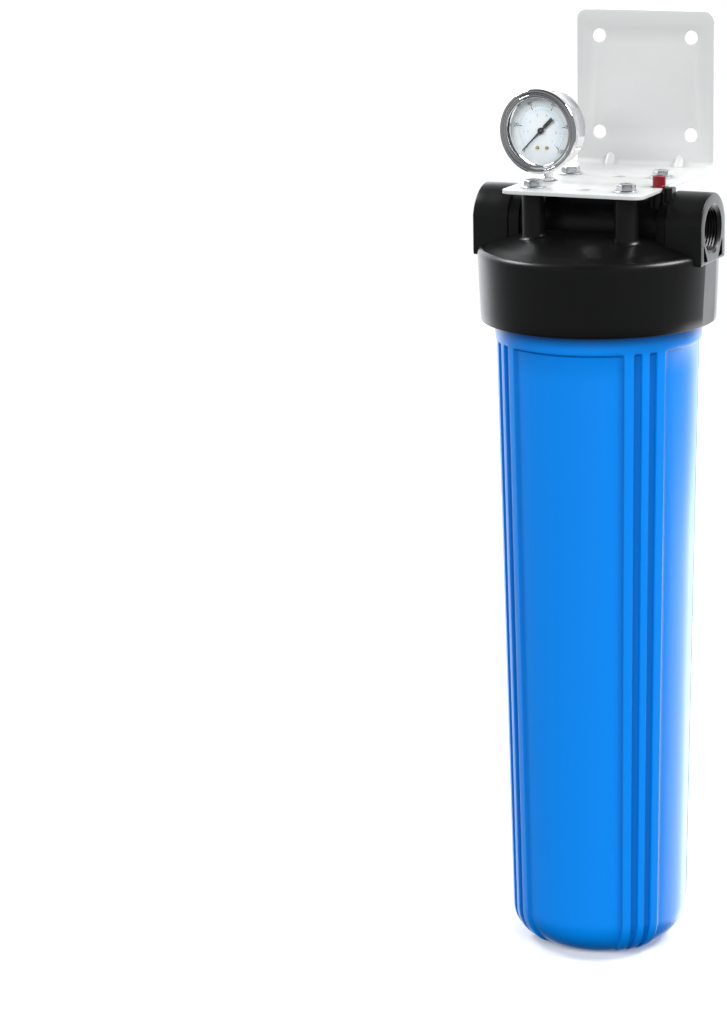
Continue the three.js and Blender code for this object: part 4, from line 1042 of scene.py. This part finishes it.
def studio():
    """A white room, dark on the camera's side, with broad suns in front and softboxes.

    Two softboxes stand high on the left and right, and two more light the right edge and the floor.
    """
    world = bpy.data.worlds.new("studio")
    bpy.context.scene.world = world
    world.use_nodes = True
    tree = world.node_tree
    around = sky_ramp(tree, (0.368, -0.93, 0.0),
                      ((-1.0, 0.8), (-0.78, 1.0), (-0.5, 0.25), (-0.1, 0.1), (1.0, 0.09)))
    upward = sky_ramp(tree, (0.0, 0.0, 1.0),
                      ((-1.0, 0.03), (-0.7, 0.08), (-0.4, 1.0), (0.35, 1.0), (0.6, 0.35), (1.0, 0.3)))
    product = tree.nodes.new("ShaderNodeMix")
    product.data_type = "RGBA"
    product.blend_type = "MULTIPLY"
    product.inputs[0].default_value = 1.0
    tree.links.new(around, product.inputs[6])
    tree.links.new(upward, product.inputs[7])
    room = tree.nodes["Background"]
    room.inputs["Strength"].default_value = 2.7
    tree.links.new(product.outputs[2], room.inputs["Color"])
    white = tree.nodes.new("ShaderNodeBackground")
    white.inputs["Color"].default_value = (1.0, 1.0, 1.0, 1.0)
    rays = tree.nodes.new("ShaderNodeLightPath")
    mix = tree.nodes.new("ShaderNodeMixShader")
    tree.links.new(rays.outputs["Is Camera Ray"], mix.inputs["Fac"])
    tree.links.new(room.outputs["Background"], mix.inputs[1])
    tree.links.new(white.outputs["Background"], mix.inputs[2])
    tree.links.new(mix.outputs["Shader"], tree.nodes["World Output"].inputs["Surface"])
    soft_sun("front_left", -105, 30, 2.25, 34)
    soft_sun("front_right", -38, 24, 2.35, 34)
    soft_sun("low_front", -75, 8, 0.25, 40)
    softbox("right_sweep", (0.69, 0.98, -0.35), (0, 0, 0.2), (1.4, 0.8), 9)
    head = (0, 0, 0.56)
    softbox("right_box", (1.25, 0.37, 1.75), head, (0.9, 0.6), 34)
    softbox("left_box", (-1.35, -0.05, 1.75), head, (0.7, 0.5), 22)
    softbox("back_floor", (0.2, 2.6, 2.4), (0.2, 2.2, 0), (3.5, 2.0), 45, mirrored=False)


def camera():
    """The viewpoint fitted to the photograph: focal length, and pose in the part's frame."""
    lens = bpy.data.cameras.new("view")
    lens.sensor_width = 36.0
    lens.lens = 110.45
    lens.clip_end = 50.0
    eye = new_object("view", lens)
    yaw, pitch, roll = -0.45401, 0.25122, -0.02236
    level = math.cos(pitch)
    forward = Vector((math.sin(yaw) * level, math.cos(yaw) * level, -math.sin(pitch)))
    right = Vector((math.cos(yaw), -math.sin(yaw), 0))
    up = right.cross(forward)
    across = right * math.cos(roll) + up * math.sin(roll)
    upward = up * math.cos(roll) - right * math.sin(roll)
    basis = Matrix((across, upward, -forward)).transposed()
    eye.matrix_world = Matrix.Translation((0.88768, -2.23954, 0.96697)) @ basis.to_4x4()
    bpy.context.scene.camera = eye


# ---- The whole ----

camera()
dress_cad_nodes()
sump_piece()
head_piece()
bracket_piece()
for number, (bx, by) in enumerate([(x * BOSS_AT, y * BOSS_AT) for x in (-1, 1) for y in (-1, 1)], 1):
    hex_bolt(number, bx, by)
    flat_washer(number, bx, by)
relief_pieces()
gauge_shells()
dial_pieces()
pointer_pieces()
stage_floor()
studio()
bpy.context.scene.view_settings.view_transform = "Standard"
